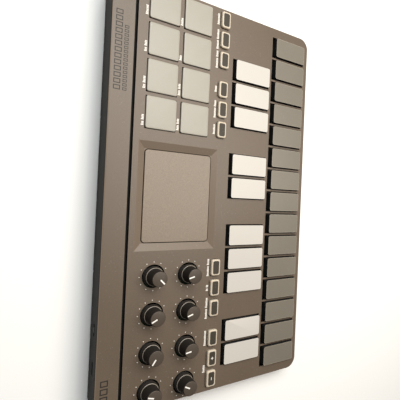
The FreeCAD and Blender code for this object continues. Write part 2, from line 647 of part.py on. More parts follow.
def lower_case():
    """The moulded lower half: floor, low walls, screw posts, battery bay and door rails."""
    body = new_body("lower_case")
    sketch = new_sketch(body, "Sizes.floor_height")
    add_rounded_box(sketch, "outline", "0", "0", "Sizes.case_width", "Sizes.case_depth", "Sizes.corner_radius")
    pad(body, sketch, "Sizes.seam_height - Sizes.floor_height")
    dress(body, "Chamfer", level_edges(number("floor_height")), "Sizes.bottom_bevel")
    dress(body, "Chamfer", level_edges(number("seam_height")), "Sizes.seam_bevel")
    sketch = new_sketch(body, "Sizes.seam_height")
    add_rounded_box(
        sketch, "tray", "Sizes.wall", "Sizes.wall", "Sizes.case_width - 2 * Sizes.wall",
        "Sizes.case_depth - 2 * Sizes.wall", "Sizes.corner_radius - Sizes.wall",
    )
    pocket(body, sketch, "Sizes.seam_height - Sizes.floor_height - Sizes.floor")

    # battery bay, and the rails that the door slides in
    floor_top = "(Sizes.floor_height + Sizes.floor)"
    rail = "Sizes.rail"
    rail_front = "%s - (%s - Sizes.tongue)" % (DOOR_FRONT, rail)
    rail_length = "Sizes.door_length + (%s - Sizes.tongue) - Sizes.wall / 2" % rail
    sketch = new_sketch(body, "%s - 0.2" % floor_top)
    add_box(
        sketch, "bay", "%s - %s" % (DOOR_LEFT, rail), "%s - Sizes.bay_wall" % BAY_FRONT,
        "%s + 2 * %s" % (DOOR_WIDTH, rail), "%s + 2 * Sizes.bay_wall" % BAY_DEPTH,
    )
    pad(body, sketch, "%s + Sizes.bay_wall - %s + 0.2" % (BAY_ROOF, floor_top))
    sketch = new_sketch(body, "%s - 0.2" % floor_top)
    for side, left in (("left", "%s - %s" % (DOOR_LEFT, rail)), ("right", "%s + %s" % (DOOR_LEFT, DOOR_WIDTH))):
        add_box(sketch, side + "_rail", left, rail_front, rail, rail_length)
    pad(body, sketch, "Sizes.rail_height + 0.2")
    sketch = new_sketch(body, "Sizes.floor_height")
    add_box(sketch, "cells", BAY_LEFT, BAY_FRONT, BAY_LENGTH, BAY_DEPTH)
    pocket(body, sketch, "%s - Sizes.floor_height" % BAY_ROOF, upward=True)
    sketch = new_sketch(body, "Sizes.floor_height")
    add_box(
        sketch, "door", "%s - Sizes.gap" % DOOR_LEFT, "%s - Sizes.gap" % DOOR_FRONT,
        "%s + 2 * Sizes.gap" % DOOR_WIDTH, "Sizes.door_length + 5",
    )
    pocket(body, sketch, "Sizes.floor + Sizes.gap", upward=True)
    sketch = new_sketch(body, "%s - Sizes.tongue_thick - Sizes.gap" % floor_top)
    add_box(
        sketch, "tracks", "%s - Sizes.tongue - Sizes.gap" % DOOR_LEFT, "%s - Sizes.gap" % DOOR_FRONT,
        "%s + 2 * Sizes.tongue + 2 * Sizes.gap" % DOOR_WIDTH, "Sizes.door_length + 5",
    )
    pocket(body, sketch, "Sizes.tongue_thick + 2 * Sizes.gap", upward=True)

    # screw posts with sunk heads, and shallow seats for the feet
    sketch = new_sketch(body, "%s - 0.2" % floor_top)
    for index, (x, y) in enumerate(post_places(), start=1):
        add_circle(sketch, "post_%d" % index, x, y, "Sizes.post_wall")
    pad(body, sketch, "Sizes.post_split - %s + 0.2" % floor_top)
    sketch = new_sketch(body, "Sizes.floor_height")
    for index, (x, y) in enumerate(post_places(), start=1):
        add_circle(sketch, "head_%d" % index, x, y, "Sizes.head_radius + Sizes.gap")
    pocket(body, sketch, "Sizes.head_height + 0.2", upward=True)
    sketch = new_sketch(body, "Sizes.floor_height")
    for index, (x, y) in enumerate(post_places(), start=1):
        add_circle(sketch, "hole_%d" % index, x, y, "Sizes.screw_radius + Sizes.gap")
    pocket(body, sketch, "Sizes.post_split", upward=True)
    sketch = new_sketch(body, "Sizes.floor_height")
    for index, (x, y) in enumerate(foot_places(), start=1):
        add_circle(sketch, "seat_%d" % index, x, y, "Sizes.foot_radius + 0.1")
    pocket(body, sketch, "Sizes.foot_seat", upward=True)
    body.Placement = on_base()
    parts["lower_case"] = body


def foot_places():
    right = "Sizes.case_width - Sizes.foot_side"
    for x in ("Sizes.foot_side", right):
        for y in ("Sizes.foot_front", "Sizes.case_depth - Sizes.foot_back"):
            yield x, y


def rubber_feet():
    """Four round feet."""
    body = new_body("rubber_feet", compound=True)
    sketch = new_sketch(body)
    for index, (x, y) in enumerate(foot_places(), start=1):
        add_circle(sketch, "foot_%d" % index, x, y, "Sizes.foot_radius")
    pad(body, sketch, "Sizes.floor_height + Sizes.foot_seat")
    dress(body, "Chamfer", level_edges(0.0), "0.4")
    body.Placement = on_base()
    parts["rubber_feet"] = body


def case_screws():
    """Eight pan-head screws driven up from below."""
    body = new_body("case_screws", compound=True)
    under_head = "(Sizes.floor_height + Sizes.head_height + 0.2)"
    sketch = new_sketch(body, "%s - Sizes.head_height" % under_head)
    for index, (x, y) in enumerate(post_places(), start=1):
        add_circle(sketch, "head_%d" % index, x, y, "Sizes.head_radius")
    pad(body, sketch, "Sizes.head_height")
    sketch = new_sketch(body, under_head)
    for index, (x, y) in enumerate(post_places(), start=1):
        add_circle(sketch, "shank_%d" % index, x, y, "Sizes.screw_radius")
    pad(body, sketch, "Sizes.screw_length")
    body.Placement = on_base()
    parts["case_screws"] = body


def touch_plate():
    """The touch plate, with its sensor bonded under it, lying in its seat."""
    body = new_body("touch_plate")
    sketch = new_sketch(body, "-%s" % PLATE_BOTTOM)
    add_rounded_box(
        sketch, "plate", PLATE_LEFT, PLATE_FRONT, "Sizes.plate_width", "Sizes.plate_depth",
        "Sizes.plate_corner",
    )
    pad(body, sketch, "Sizes.plate_thick")
    plate_top = number("Sizes.plate_thick - %s" % PLATE_BOTTOM)
    dress(body, "Chamfer", level_edges(plate_top), "Sizes.plate_bevel")
    body.Placement = on_panel("0", "0")
    parts["touch_plate"] = body


def trigger_pads():
    """One silicone moulding: a sheet under the top with eight hollow pads standing through it."""
    body = new_body("trigger_pads")
    sketch = new_sketch(body, "-Sizes.panel - Sizes.pad_sheet")
    add_box(
        sketch, "sheet", "%s - Sizes.sheet_margin" % PADS_LEFT, "Sizes.pad_front - Sizes.sheet_margin",
        "%s + Sizes.sheet_margin + Sizes.sheet_right" % PADS_WIDTH,
        "%s + Sizes.pad_depth + Sizes.sheet_margin + Sizes.sheet_rear" % PAD_ROW,
    )
    pad(body, sketch, "Sizes.pad_sheet")
    # each pad is square-cornered below the sheet and rounded above it
    sketch = new_sketch(body, BOARD_TOP)
    for index, (x, y) in enumerate(pad_places(), start=1):
        add_box(sketch, "stand_%d" % index, x, y, "Sizes.pad_width", "Sizes.pad_depth")
    pad(body, sketch, "Sizes.board_drop - Sizes.panel - Sizes.pad_sheet / 2")
    sketch = new_sketch(body, "-Sizes.panel - Sizes.pad_sheet / 2")
    for index, (x, y) in enumerate(pad_places(), start=1):
        add_rounded_box(
            sketch, "pad_%d" % index, x, y, "Sizes.pad_width", "Sizes.pad_depth", "Sizes.pad_corner",
        )
    pad(body, sketch, "Sizes.panel + Sizes.pad_sheet / 2 + Sizes.pad_rise")
    sketch = new_sketch(body, BOARD_TOP)
    for index, (x, y) in enumerate(pad_places(), start=1):
        add_box(
            sketch, "hollow_%d" % index, "%s + Sizes.pad_wall" % x, "%s + Sizes.pad_wall" % y,
            "Sizes.pad_width - 2 * Sizes.pad_wall", "Sizes.pad_depth - 2 * Sizes.pad_wall",
        )
    pocket(body, sketch, "Sizes.board_drop + Sizes.pad_rise - Sizes.pad_wall", upward=True)
    body.Placement = on_panel("0", "0")
    parts["trigger_pads"] = body


def board_holes(sketch, depth, prefix):
    """Clearance holes round the upright screw posts and the pillars, at this depth below the top."""
    for index, (x, y) in enumerate(post_places()[:4], start=1):
        along = "%s * cos(%s) - (%s) * sin(%s)" % (y, SLOPE, depth, SLOPE)
        add_circle(sketch, "%s_post_%d" % (prefix, index), x, along, "Sizes.boss_radius + 0.7")


def main_board():
    """The circuit board, with a tab to the rear wall for the socket and the power switch."""
    body = new_body("main_board")
    left, front = "Sizes.board_side", "Sizes.board_front"
    right = "Sizes.case_width - Sizes.board_side"
    rear = "%s - Sizes.bay_wall - 1" % BAY_FRONT
    tab_left = "Sizes.socket_centre - 1.5 * Sizes.socket_width"
    tab_right = "Sizes.switch_centre + 1.2 * Sizes.switch_width"
    tab_rear = "%s - Sizes.wall - 1.2" % SLOPE_LENGTH
    sketch = new_sketch(body, "%s - Sizes.board" % BOARD_TOP)
    add_polygon(sketch, "board", [
        (left, front), (right, front), (right, rear), (tab_right, rear),
        (tab_right, tab_rear), (tab_left, tab_rear), (tab_left, rear), (left, rear),
    ])
    pad(body, sketch, "Sizes.board")
    # the processor and two smaller chips, under the touch plate
    sketch = new_sketch(body, BOARD_TOP)
    chips = (("processor", -5, 23, "10"), ("driver", 13, 35, "6"), ("radio", -19, 39, "7"))
    for name, across, along, side in chips:
        x, y = "Sizes.case_width / 2 + %d" % across, "Sizes.recess_front + %d" % along
        add_box(sketch, name, x, y, side, side)
    pad(body, sketch, "Sizes.chip")
    sketch = new_sketch(body, BOARD_TOP)
    board_holes(sketch, "Sizes.board_drop", "clear")
    pocket(body, sketch, "2 * Sizes.board")
    body.Placement = on_panel("0", "0")
    parts["main_board"] = body


def contact_mat():
    """The silicone mat on the board: one contact under each key and button."""
    body = new_body("contact_mat")
    sketch = new_sketch(body, BOARD_TOP)
    inset, side = "(Sizes.board_side + 1)", "Sizes.contact_side"
    mat_rear = "(Sizes.button_front + Sizes.button_depth + 2)"
    add_box(sketch, "mat", inset, inset, "Sizes.case_width - 2 * %s" % inset, "%s - %s" % (mat_rear, inset))
    pad(body, sketch, "Sizes.mat")
    for kind in ("natural", "sharp"):
        front, rear = key_ends(kind)
        sketch = new_sketch(body, "%s + Sizes.mat" % BOARD_TOP)
        for name, left in key_spaces(kind):
            add_box(
                sketch, name, "%s + Sizes.key_pitch / 2 - %s / 2" % (left, side),
                "(%s + %s - %s) / 2" % (front, rear, side), side, side,
            )
        pad(body, sketch, "Sizes.dome")
    sketch = new_sketch(body, "%s + Sizes.mat" % BOARD_TOP)
    for name, left in button_places():
        add_box(
            sketch, name, "%s + Sizes.button_width / 2 - %s / 2" % (left, side),
            "Sizes.button_front + Sizes.button_depth / 2 - %s / 2" % side, side, side,
        )
    pad(body, sketch, "Sizes.dome")
    sketch = new_sketch(body, "%s + Sizes.mat" % BOARD_TOP)
    board_holes(sketch, "Sizes.board_drop - Sizes.mat / 2", "clear")
    for index, (x, y) in enumerate(pillar_places()[:3], start=1):
        add_cross(sketch, "pillar_%d" % index, x, y, "Sizes.gap")
    pocket(body, sketch, "2 * Sizes.mat")
    body.Placement = on_panel("0", "0")
    parts["contact_mat"] = body


def potentiometers():
    """Eight potentiometer bodies standing on the board, each with a bore for its shaft."""
    body = new_body("potentiometers", compound=True)
    sketch = new_sketch(body, BOARD_TOP)
    for index, (x, y) in enumerate(knob_places(), start=1):
        add_box(
            sketch, "pot_%d" % index, "%s - Sizes.pot_width / 2" % x, "%s - Sizes.pot_depth / 2" % y,
            "Sizes.pot_width", "Sizes.pot_depth",
        )
    pad(body, sketch, "Sizes.pot_height")
    sketch = new_sketch(body, "%s + Sizes.pot_height" % BOARD_TOP)
    for index, (x, y) in enumerate(knob_places(), start=1):
        add_circle(sketch, "bore_%d" % index, x, y, "Sizes.shaft_radius + Sizes.shaft_play")
    pocket(body, sketch, "Sizes.pot_height - 0.8")
    body.Placement = on_panel("0", "0")
    parts["potentiometers"] = body


def knob(index, x, y, turn):
    """A moulded knob with a rim round its foot, pushed on the flatted shaft of its potentiometer."""
    label = "knob_%d" % index
    body = new_body(label, compound=True)
    sketch = new_sketch(body, role="XZ_Plane")
    add_polygon(sketch, "profile", [
        ("0", "Sizes.knob_foot"), ("Sizes.knob_flange", "Sizes.knob_foot"),
        ("Sizes.knob_flange", "Sizes.rim_height"), ("Sizes.knob_body", "Sizes.rim_height"),
        ("Sizes.knob_body", "Sizes.knob_height"), ("0", "Sizes.knob_height"),
    ])
    revolution = body.newObject("PartDesign::Revolution", label + "_turning")
    revolution.Profile = sketch
    revolution.ReferenceAxis = (sketch, ["V_Axis"])
    revolution.Angle = 360
    # the pointer's slot, from the middle to the edge
    sketch = new_sketch(body, "Sizes.knob_height")
    add_box(sketch, "slot", "-Sizes.slot_width / 2", "Sizes.slot_start", "Sizes.slot_width", "Sizes.knob_body")
    pocket(body, sketch, "Sizes.slot_depth")
    fit, end = "0.02", "0.2"
    sketch = new_sketch(body)
    add_shaft_outline(sketch, "socket", "Sizes.shaft_radius + %s" % fit, "Sizes.shaft_flat + %s" % fit)
    pocket(body, sketch, "Sizes.shaft_grip", upward=True)
    shaft_foot = "(1 - Sizes.board_drop)"
    sketch = new_sketch(body, shaft_foot)
    add_shaft_outline(sketch, "shaft", "Sizes.shaft_radius", "Sizes.shaft_flat")
    pad(body, sketch, "Sizes.shaft_grip - %s - %s" % (end, shaft_foot))
    body.Placement = on_panel(x, y, turn)
    parts[label] = body


def add_plunger(sketch, x, y):
    """The square post that presses a contact, round its middle."""
    side = "Sizes.plunger_side"
    add_box(sketch, "plunger", "%s - %s / 2" % (x, side), "%s - %s / 2" % (y, side), side, side)


def key_cap(label, left, front, rear, rear_gap):
    """A hollow moulded cap with a plunger, held down by a bar that reaches under the top."""
    body = new_body(label)
    depth = "(%s - %s - Sizes.key_gap - %s)" % (rear, front, rear_gap)
    sketch = new_sketch(body, "-Sizes.skirt")
    add_rounded_box(sketch, "cap", "0", "0", KEY_WIDTH, depth, "Sizes.key_corner")
    pad(body, sketch, "Sizes.skirt + Sizes.key_rise")
    sketch = new_sketch(body, "-Sizes.skirt")
    add_box(
        sketch, "hollow", "Sizes.cap_wall", "Sizes.cap_wall", "%s - 2 * Sizes.cap_wall" % KEY_WIDTH,
        "%s - 2 * Sizes.cap_wall" % depth,
    )
    pocket(body, sketch, "Sizes.skirt + Sizes.key_rise - Sizes.cap_wall", upward=True)
    sketch = new_sketch(body, "-Sizes.skirt - Sizes.flange")
    add_box(
        sketch, "bar", "%s / 2 - Sizes.flange_width / 2" % KEY_WIDTH, "-Sizes.key_gap - Sizes.flange_reach",
        "Sizes.flange_width", "%s + Sizes.key_gap + %s + 2 * Sizes.flange_reach" % (depth, rear_gap),
    )
    pad(body, sketch, "Sizes.flange")
    # the plunger meets its contact, pressed flat, with a little room left
    bottom = "(%s + Sizes.gap + Sizes.key_travel)" % DOME_TOP
    middle = "((%s - %s) / 2 - Sizes.key_gap)" % (rear, front)
    sketch = new_sketch(body, bottom)
    add_plunger(sketch, "%s / 2" % KEY_WIDTH, middle)
    pad(body, sketch, "-Sizes.skirt - %s" % bottom)
    body.Placement = on_panel("%s + Sizes.key_web / 2 + Sizes.key_gap" % left, "%s + Sizes.key_gap" % front)
    parts[label] = body


def button(label, left):
    """A small silicone button with a flange under the top and a short plunger."""
    body = new_body(label)
    sketch = new_sketch(body, "-Sizes.skirt")
    add_rounded_box(sketch, "cap", "0", "0", "Sizes.button_width", "Sizes.button_depth", "Sizes.button_corner")
    pad(body, sketch, "Sizes.skirt + Sizes.button_rise")
    reach = "Sizes.button_flange"
    sketch = new_sketch(body, "-Sizes.skirt - %s" % reach)
    add_box(
        sketch, "flange", "-%s" % reach, "-%s" % reach, "Sizes.button_width + 2 * %s" % reach,
        "Sizes.button_depth + 2 * %s" % reach,
    )
    pad(body, sketch, reach)
    bottom = "(%s + Sizes.gap + Sizes.button_travel)" % DOME_TOP
    sketch = new_sketch(body, bottom)
    add_plunger(sketch, "Sizes.button_width / 2", "Sizes.button_depth / 2")
    pad(body, sketch, "-Sizes.skirt - %s" % bottom)
    body.Placement = on_panel(left, "Sizes.button_front")
    parts[label] = body


def battery_door():
    """The flat door under the cells; its side tongues slide rearwards out of the rails."""
    body = new_body("battery_door")
    sketch = new_sketch(body, "Sizes.floor_height")
    add_box(sketch, "door", DOOR_LEFT, DOOR_FRONT, DOOR_WIDTH, "Sizes.door_length")
    pad(body, sketch, "Sizes.floor")

    def rear_bottom(edge):
        box = edge.BoundBox
        rear = number("case_depth")
        return abs(box.YMin - rear) < 1e-4 and abs(box.ZMax - number("floor_height")) < 1e-4

    dress(body, "Chamfer", rear_bottom, "Sizes.bottom_bevel")
    sketch = new_sketch(body, "Sizes.floor_height + Sizes.floor - Sizes.tongue_thick")
    add_box(
        sketch, "tongues", "%s - Sizes.tongue" % DOOR_LEFT, DOOR_FRONT, "%s + 2 * Sizes.tongue" % DOOR_WIDTH,
        "Sizes.door_length - Sizes.bottom_bevel",
    )
    pad(body, sketch, "Sizes.tongue_thick")
    # grip lines for a thumb
    sketch = new_sketch(body, "Sizes.floor_height")
    grip_width, grip_line, grip_pitch, grip_start = 16, 0.8, 1.6, 3
    for line in range(4):
        front = "%s + %g" % (DOOR_FRONT, grip_start + grip_pitch * line)
        left = "Sizes.case_width / 2 - %g" % (grip_width / 2)
        add_box(sketch, "grip_%d" % line, left, front, "%g" % grip_width, "%g" % grip_line)
    pocket(body, sketch, "0.4", upward=True)
    body.Placement = on_base()
    parts["battery_door"] = body


def aaa_cells():
    """Two cells end to end."""
    body = new_body("aaa_cells", compound=True)
    whole = "(Sizes.cell_length + Sizes.nub_length)"
    room = "Sizes.contact_room"
    for length, radius, setback in (
        ("Sizes.cell_length", "Sizes.cell_radius", "0"),
        ("Sizes.nub_length", "Sizes.nub_radius", "Sizes.cell_length"),
    ):
        for cell in range(2):
            start = "%s + %s + %d * %s + %s" % (BAY_LEFT, room, cell, whole, setback)
            sketch = new_sketch(body, "%s + %g" % (start, 0.05 * cell), role="YZ_Plane")
            add_circle(sketch, "cell", BAY_MIDDLE, CELL_HEIGHT, radius)
            pad(body, sketch, length if radius == "Sizes.cell_radius" else "%s - 0.05" % length)
    body.Placement = on_base()
    parts["aaa_cells"] = body


def battery_contacts():
    """Sprung metal contacts at the two ends of the bay."""
    body = new_body("battery_contacts", compound=True)
    ends = (BAY_LEFT, "%s + %s - 0.4" % (BAY_LEFT, BAY_LENGTH))
    for start in ends:
        sketch = new_sketch(body, start, role="YZ_Plane")
        add_box(
            sketch, "blade", "%s - 4" % BAY_MIDDLE, "%s - 4" % CELL_HEIGHT, "8", "8",
        )
        pad(body, sketch, "0.4")
    # the coil at the flat end is shown as a stepped cone; the button end has a raised boss
    sketch = new_sketch(body, "%s + 0.4" % BAY_LEFT, role="YZ_Plane")
    add_circle(sketch, "coil", BAY_MIDDLE, CELL_HEIGHT, "3")
    pad(body, sketch, "Sizes.contact_room - 0.5")
    sketch = new_sketch(body, "%s + %s - Sizes.contact_room + 0.1" % (BAY_LEFT, BAY_LENGTH), role="YZ_Plane")
    add_circle(sketch, "boss", BAY_MIDDLE, CELL_HEIGHT, "2")
    pad(body, sketch, "Sizes.contact_room - 0.5")
    body.Placement = on_base()
    parts["battery_contacts"] = body


def usb_socket():
    """The data and power socket: a folded metal shell round a tongue."""
    body = new_body("usb_socket")
    mouth = "(%s - Sizes.wall - 0.6)" % SLOPE_LENGTH
    sketch = new_sketch(body, "-%s" % mouth, role="XZ_Plane")
    add_box(
        sketch, "shell", "Sizes.socket_centre - Sizes.socket_width / 2", BOARD_TOP, "Sizes.socket_width",
        "Sizes.socket_height",
    )
    pad(body, sketch, "Sizes.socket_depth")
    sketch = new_sketch(body, "-%s" % mouth, role="XZ_Plane")
    add_box(
        sketch, "mouth", "Sizes.socket_centre - Sizes.socket_width / 2 + 0.3", "%s + 0.3" % BOARD_TOP,
        "Sizes.socket_width - 0.6", "Sizes.socket_height - 0.6",
    )
    pocket(body, sketch, "Sizes.socket_depth - 0.6", upward=True)
    sketch = new_sketch(body, "-(%s - 1)" % mouth, role="XZ_Plane")
    add_box(
        sketch, "tongue", "Sizes.socket_centre - 1.9", "%s + 1.1" % BOARD_TOP, "3.8", "0.6",
    )
    pad(body, sketch, "Sizes.socket_depth - 1.3")
    body.Placement = on_panel("0", "0")
    parts["usb_socket"] = body


def power_switch():
    """The switch's fixed housing on the board, and its slider through the rear wall."""
    housing = new_body("switch_housing")
    front = "(%s - Sizes.wall - Sizes.gap)" % SLOPE_LENGTH
    sketch = new_sketch(housing, "-%s" % front, role="XZ_Plane")
    add_box(
        sketch, "can", "Sizes.switch_centre - Sizes.switch_width / 2", BOARD_TOP, "Sizes.switch_width",
        "Sizes.switch_height",
    )
    pad(housing, sketch, "Sizes.switch_depth")
    sketch = new_sketch(housing, "-%s" % front, role="XZ_Plane")
    low = "(%s + 1)" % BOARD_TOP
    add_box(
        sketch, "slot", "Sizes.switch_centre - Sizes.slider_width / 2 - Sizes.slider_travel - Sizes.gap", low,
        "Sizes.slider_width + 2 * Sizes.slider_travel + 2 * Sizes.gap", "Sizes.switch_height - 2",
    )
    pocket(housing, sketch, "2.5", upward=True)
    housing.Placement = on_panel("0", "0")
    parts["switch_housing"] = housing

    slider = new_body("power_switch")
    sketch = new_sketch(slider, "-(%s - Sizes.slider_set)" % SLOPE_LENGTH, role="XZ_Plane")
    add_box(
        sketch, "slider", "Sizes.switch_centre - Sizes.slider_width / 2", "%s + Sizes.gap" % low,
        "Sizes.slider_width", "Sizes.switch_height - 2 - 2 * Sizes.gap",
    )
    pad(slider, sketch, "Sizes.wall + 2 - Sizes.slider_set")
    slider.Placement = on_panel("0", "0")
    parts["power_switch"] = slider


upper_case()
lower_case()
rubber_feet()
case_screws()
touch_plate()
trigger_pads()
main_board()
contact_mat()
potentiometers()
for index, (x, y) in enumerate(knob_places()):
    knob(index + 1, x, y, KNOB_TURNS[index])
for kind in ("natural", "sharp"):
    for name, left in key_spaces(kind):
        key_cap(name, left, *key_ends(kind), "Sizes.%s_rear_gap" % kind)
for name, left in button_places():
    button(name, left)
battery_door()
aaa_cells()
battery_contacts()
usb_socket()
power_switch()
doc.recompute()

for item in doc.Objects:
    if "Invalid" in item.State or "Error" in item.State:
        raise RuntimeError("%s failed to build" % item.Label)
for label, item in parts.items():
    if item.Shape.isNull() or not item.Shape.isValid():
        raise RuntimeError("%s has no sound shape" % label)

os.makedirs("parts", exist_ok=True)
for label, item in parts.items():
    item.Shape.exportStep("parts/%s.step" % label)
print("%d sub-parts written" % len(parts))
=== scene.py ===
import json
import math

import bmesh
import bpy
from mathutils import Matrix, Vector


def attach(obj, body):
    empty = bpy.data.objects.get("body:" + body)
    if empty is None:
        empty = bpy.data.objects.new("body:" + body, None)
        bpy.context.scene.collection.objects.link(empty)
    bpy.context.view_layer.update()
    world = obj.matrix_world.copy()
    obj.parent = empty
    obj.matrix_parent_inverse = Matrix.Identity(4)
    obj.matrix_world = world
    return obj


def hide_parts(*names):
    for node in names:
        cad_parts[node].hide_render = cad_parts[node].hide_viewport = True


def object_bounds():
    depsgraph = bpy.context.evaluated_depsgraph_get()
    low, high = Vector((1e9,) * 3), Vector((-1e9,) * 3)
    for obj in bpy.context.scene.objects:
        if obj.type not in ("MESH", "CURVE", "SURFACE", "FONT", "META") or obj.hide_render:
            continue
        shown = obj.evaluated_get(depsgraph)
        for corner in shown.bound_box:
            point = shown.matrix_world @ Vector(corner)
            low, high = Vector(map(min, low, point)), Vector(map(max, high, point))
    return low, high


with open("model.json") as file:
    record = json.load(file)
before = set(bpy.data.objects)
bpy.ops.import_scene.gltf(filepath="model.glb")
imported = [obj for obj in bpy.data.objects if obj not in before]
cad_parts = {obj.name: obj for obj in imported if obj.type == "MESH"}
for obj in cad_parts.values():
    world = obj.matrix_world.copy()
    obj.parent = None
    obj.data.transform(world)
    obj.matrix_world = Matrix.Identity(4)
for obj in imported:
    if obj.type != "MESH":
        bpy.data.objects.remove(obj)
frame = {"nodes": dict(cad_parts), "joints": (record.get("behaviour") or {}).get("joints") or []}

cad_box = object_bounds()

# ---- upper case ----------------------------------------------------------------------
# The top half of the case, one moulding with a fine spark-eroded grain.  Its top face is a satin
# grey-brown with a fine fleck, paler along the edges partly from rubbing and partly as a painted
# highlight, and its walls and the insides of the openings are painted near-black as painted shade.

# the sloping top, found from the knobs: each knob turns square to it
knob_turning = [joint for joint in frame["joints"] if joint["name"] == "knob_1_turn"][0]
panel_normal = Vector(knob_turning["axis"])
pivot_height = 0.005
panel_point = Vector(knob_turning["pos_m"]) - pivot_height * panel_normal
panel_turn = Vector((0, 0, 1)).rotation_difference(panel_normal).to_matrix().to_4x4()
panel = Matrix.Translation(panel_point) @ panel_turn


def panel_box(node):
    """Lowest and highest corner of a CAD piece, measured along and square to the panel."""
    corners = [panel.inverted() @ vertex.co for vertex in frame["nodes"][node].data.vertices]
    low = Vector([min(corner[axis] for corner in corners) for axis in range(3)])
    high = Vector([max(corner[axis] for corner in corners) for axis in range(3)])
    return low, high


def new_group(name, inputs, outputs):
    """An empty shader group with plain number sockets, and its two end nodes."""
    group = bpy.data.node_groups.new(name, "ShaderNodeTree")
    for label, value in inputs:
        socket = group.interface.new_socket(label, in_out="INPUT", socket_type="NodeSocketFloat")
        socket.default_value = value
    for label in outputs:
        group.interface.new_socket(label, in_out="OUTPUT", socket_type="NodeSocketFloat")
    return group, group.nodes.new("NodeGroupInput"), group.nodes.new("NodeGroupOutput")


def add_math(tree, operation, first, second, clamp=False):
    """A Math node fed by sockets or plain numbers; returns its output."""
    node = tree.nodes.new("ShaderNodeMath")
    node.operation = operation
    node.use_clamp = clamp
    for socket, value in zip(node.inputs, (first, second)):
        if isinstance(value, bpy.types.NodeSocket):
            tree.links.new(value, socket)
        else:
            socket.default_value = value
    return node.outputs[0]


def add_noise(tree, scale, detail, roughness=0.5):
    """Noise on the piece's own coordinates; scale is a socket or cycles per metre."""
    place = tree.nodes.new("ShaderNodeTexCoord")
    noise = tree.nodes.new("ShaderNodeTexNoise")
    tree.links.new(place.outputs["Object"], noise.inputs["Vector"])
    if isinstance(scale, bpy.types.NodeSocket):
        tree.links.new(scale, noise.inputs["Scale"])
    else:
        noise.inputs["Scale"].default_value = scale
    noise.inputs["Detail"].default_value = detail
    noise.inputs["Roughness"].default_value = roughness
    return noise.outputs["Fac"]


def make_mould_grain():
    """Spark-eroded grain and the slow drift of tone across a moulding."""
    inputs = (("Grain", 5000.0), ("Drift", 22.0))
    tree, start, end = new_group("mould_grain", inputs, ("Height", "Tone"))
    tree.links.new(add_noise(tree, start.outputs["Grain"], 3.0, 0.65), end.inputs["Height"])
    tree.links.new(add_noise(tree, start.outputs["Drift"], 4.0), end.inputs["Tone"])
    return tree


def make_edge_wear_and_highlight():
    """How far handling has rubbed the surface near an edge, which also serves as a painted highlight
    there.
    """
    turn_gain, patch_grain, patch_gain = 6.0, 700.0, 1.8
    tree, start, end = new_group("edge_wear_and_highlight", (("Width", 0.0004), ("Amount", 0.5)), ("Mask",))
    rounded = tree.nodes.new("ShaderNodeBevel")
    rounded.samples = 4
    tree.links.new(start.outputs["Width"], rounded.inputs["Radius"])
    surface = tree.nodes.new("ShaderNodeNewGeometry")
    dot = tree.nodes.new("ShaderNodeVectorMath")
    dot.operation = "DOT_PRODUCT"
    tree.links.new(rounded.outputs["Normal"], dot.inputs[0])
    tree.links.new(surface.outputs["Normal"], dot.inputs[1])
    turned = add_math(tree, "SUBTRACT", 1.0, dot.outputs["Value"])
    near = add_math(tree, "MULTIPLY", turned, turn_gain, clamp=True)
    uneven = add_math(tree, "MULTIPLY", add_noise(tree, patch_grain, 3.0), patch_gain)
    worn_and_lit_edge = add_math(tree, "MULTIPLY", near, uneven, clamp=True)
    tree.links.new(add_math(tree, "MULTIPLY", worn_and_lit_edge, start.outputs["Amount"]), end.inputs["Mask"])
    return tree


def make_crevice_shade():
    """Painted shade deep in gaps and along inner corners."""
    dark_from, dark_to = 0.30, 0.68
    tree, start, end = new_group("crevice_shade", (("Reach", 0.003), ("Amount", 0.9)), ("Mask",))
    open_sky = tree.nodes.new("ShaderNodeAmbientOcclusion")
    open_sky.samples = 8
    tree.links.new(start.outputs["Reach"], open_sky.inputs["Distance"])
    closed = add_math(tree, "SUBTRACT", 1.0, open_sky.outputs["AO"])
    deep = tree.nodes.new("ShaderNodeMapRange")
    deep.inputs["From Min"].default_value = dark_from
    deep.inputs["From Max"].default_value = dark_to
    tree.links.new(closed, deep.inputs["Value"])
    gap_shaded = add_math(tree, "MULTIPLY", deep.outputs["Result"], start.outputs["Amount"])
    tree.links.new(gap_shaded, end.inputs["Mask"])
    return tree


def make_height_step():
    """Mask is 1 on faces that look up and lie above a height over the panel, and 0 on walls and
    below; Rim is 1 on the rounded edge between the two, where a painted highlight goes."""
    wall_edge, wall_blend, top_edge, top_blend = 0.62, 0.12, 0.90, 0.07
    inputs = (("Height", 0.001), ("Blend", 0.0003))
    tree, start, end = new_group("height_step", inputs, ("Mask", "Rim"))
    place = tree.nodes.new("ShaderNodeTexCoord")
    offset = tree.nodes.new("ShaderNodeVectorMath")
    offset.operation = "SUBTRACT"
    tree.links.new(place.outputs["Object"], offset.inputs[0])
    offset.inputs[1].default_value = panel_point
    above = tree.nodes.new("ShaderNodeVectorMath")
    above.operation = "DOT_PRODUCT"
    tree.links.new(offset.outputs["Vector"], above.inputs[0])
    above.inputs[1].default_value = panel_normal
    from_step = add_math(tree, "SUBTRACT", above.outputs["Value"], start.outputs["Height"])
    share = add_math(tree, "DIVIDE", from_step, start.outputs["Blend"], clamp=True)
    surface = tree.nodes.new("ShaderNodeNewGeometry")
    facing = tree.nodes.new("ShaderNodeVectorMath")
    facing.operation = "DOT_PRODUCT"
    tree.links.new(surface.outputs["Normal"], facing.inputs[0])
    facing.inputs[1].default_value = panel_normal
    past_wall = add_math(tree, "SUBTRACT", facing.outputs["Value"], wall_edge)
    upward = add_math(tree, "DIVIDE", past_wall, wall_blend, clamp=True)
    mask = add_math(tree, "MULTIPLY", share, upward)
    tree.links.new(mask, end.inputs["Mask"])
    past_rim = add_math(tree, "SUBTRACT", facing.outputs["Value"], top_edge)
    flat = add_math(tree, "DIVIDE", past_rim, top_blend, clamp=True)
    leaning = add_math(tree, "SUBTRACT", 1.0, flat)
    tree.links.new(add_math(tree, "MULTIPLY", mask, leaning), end.inputs["Rim"])
    return tree


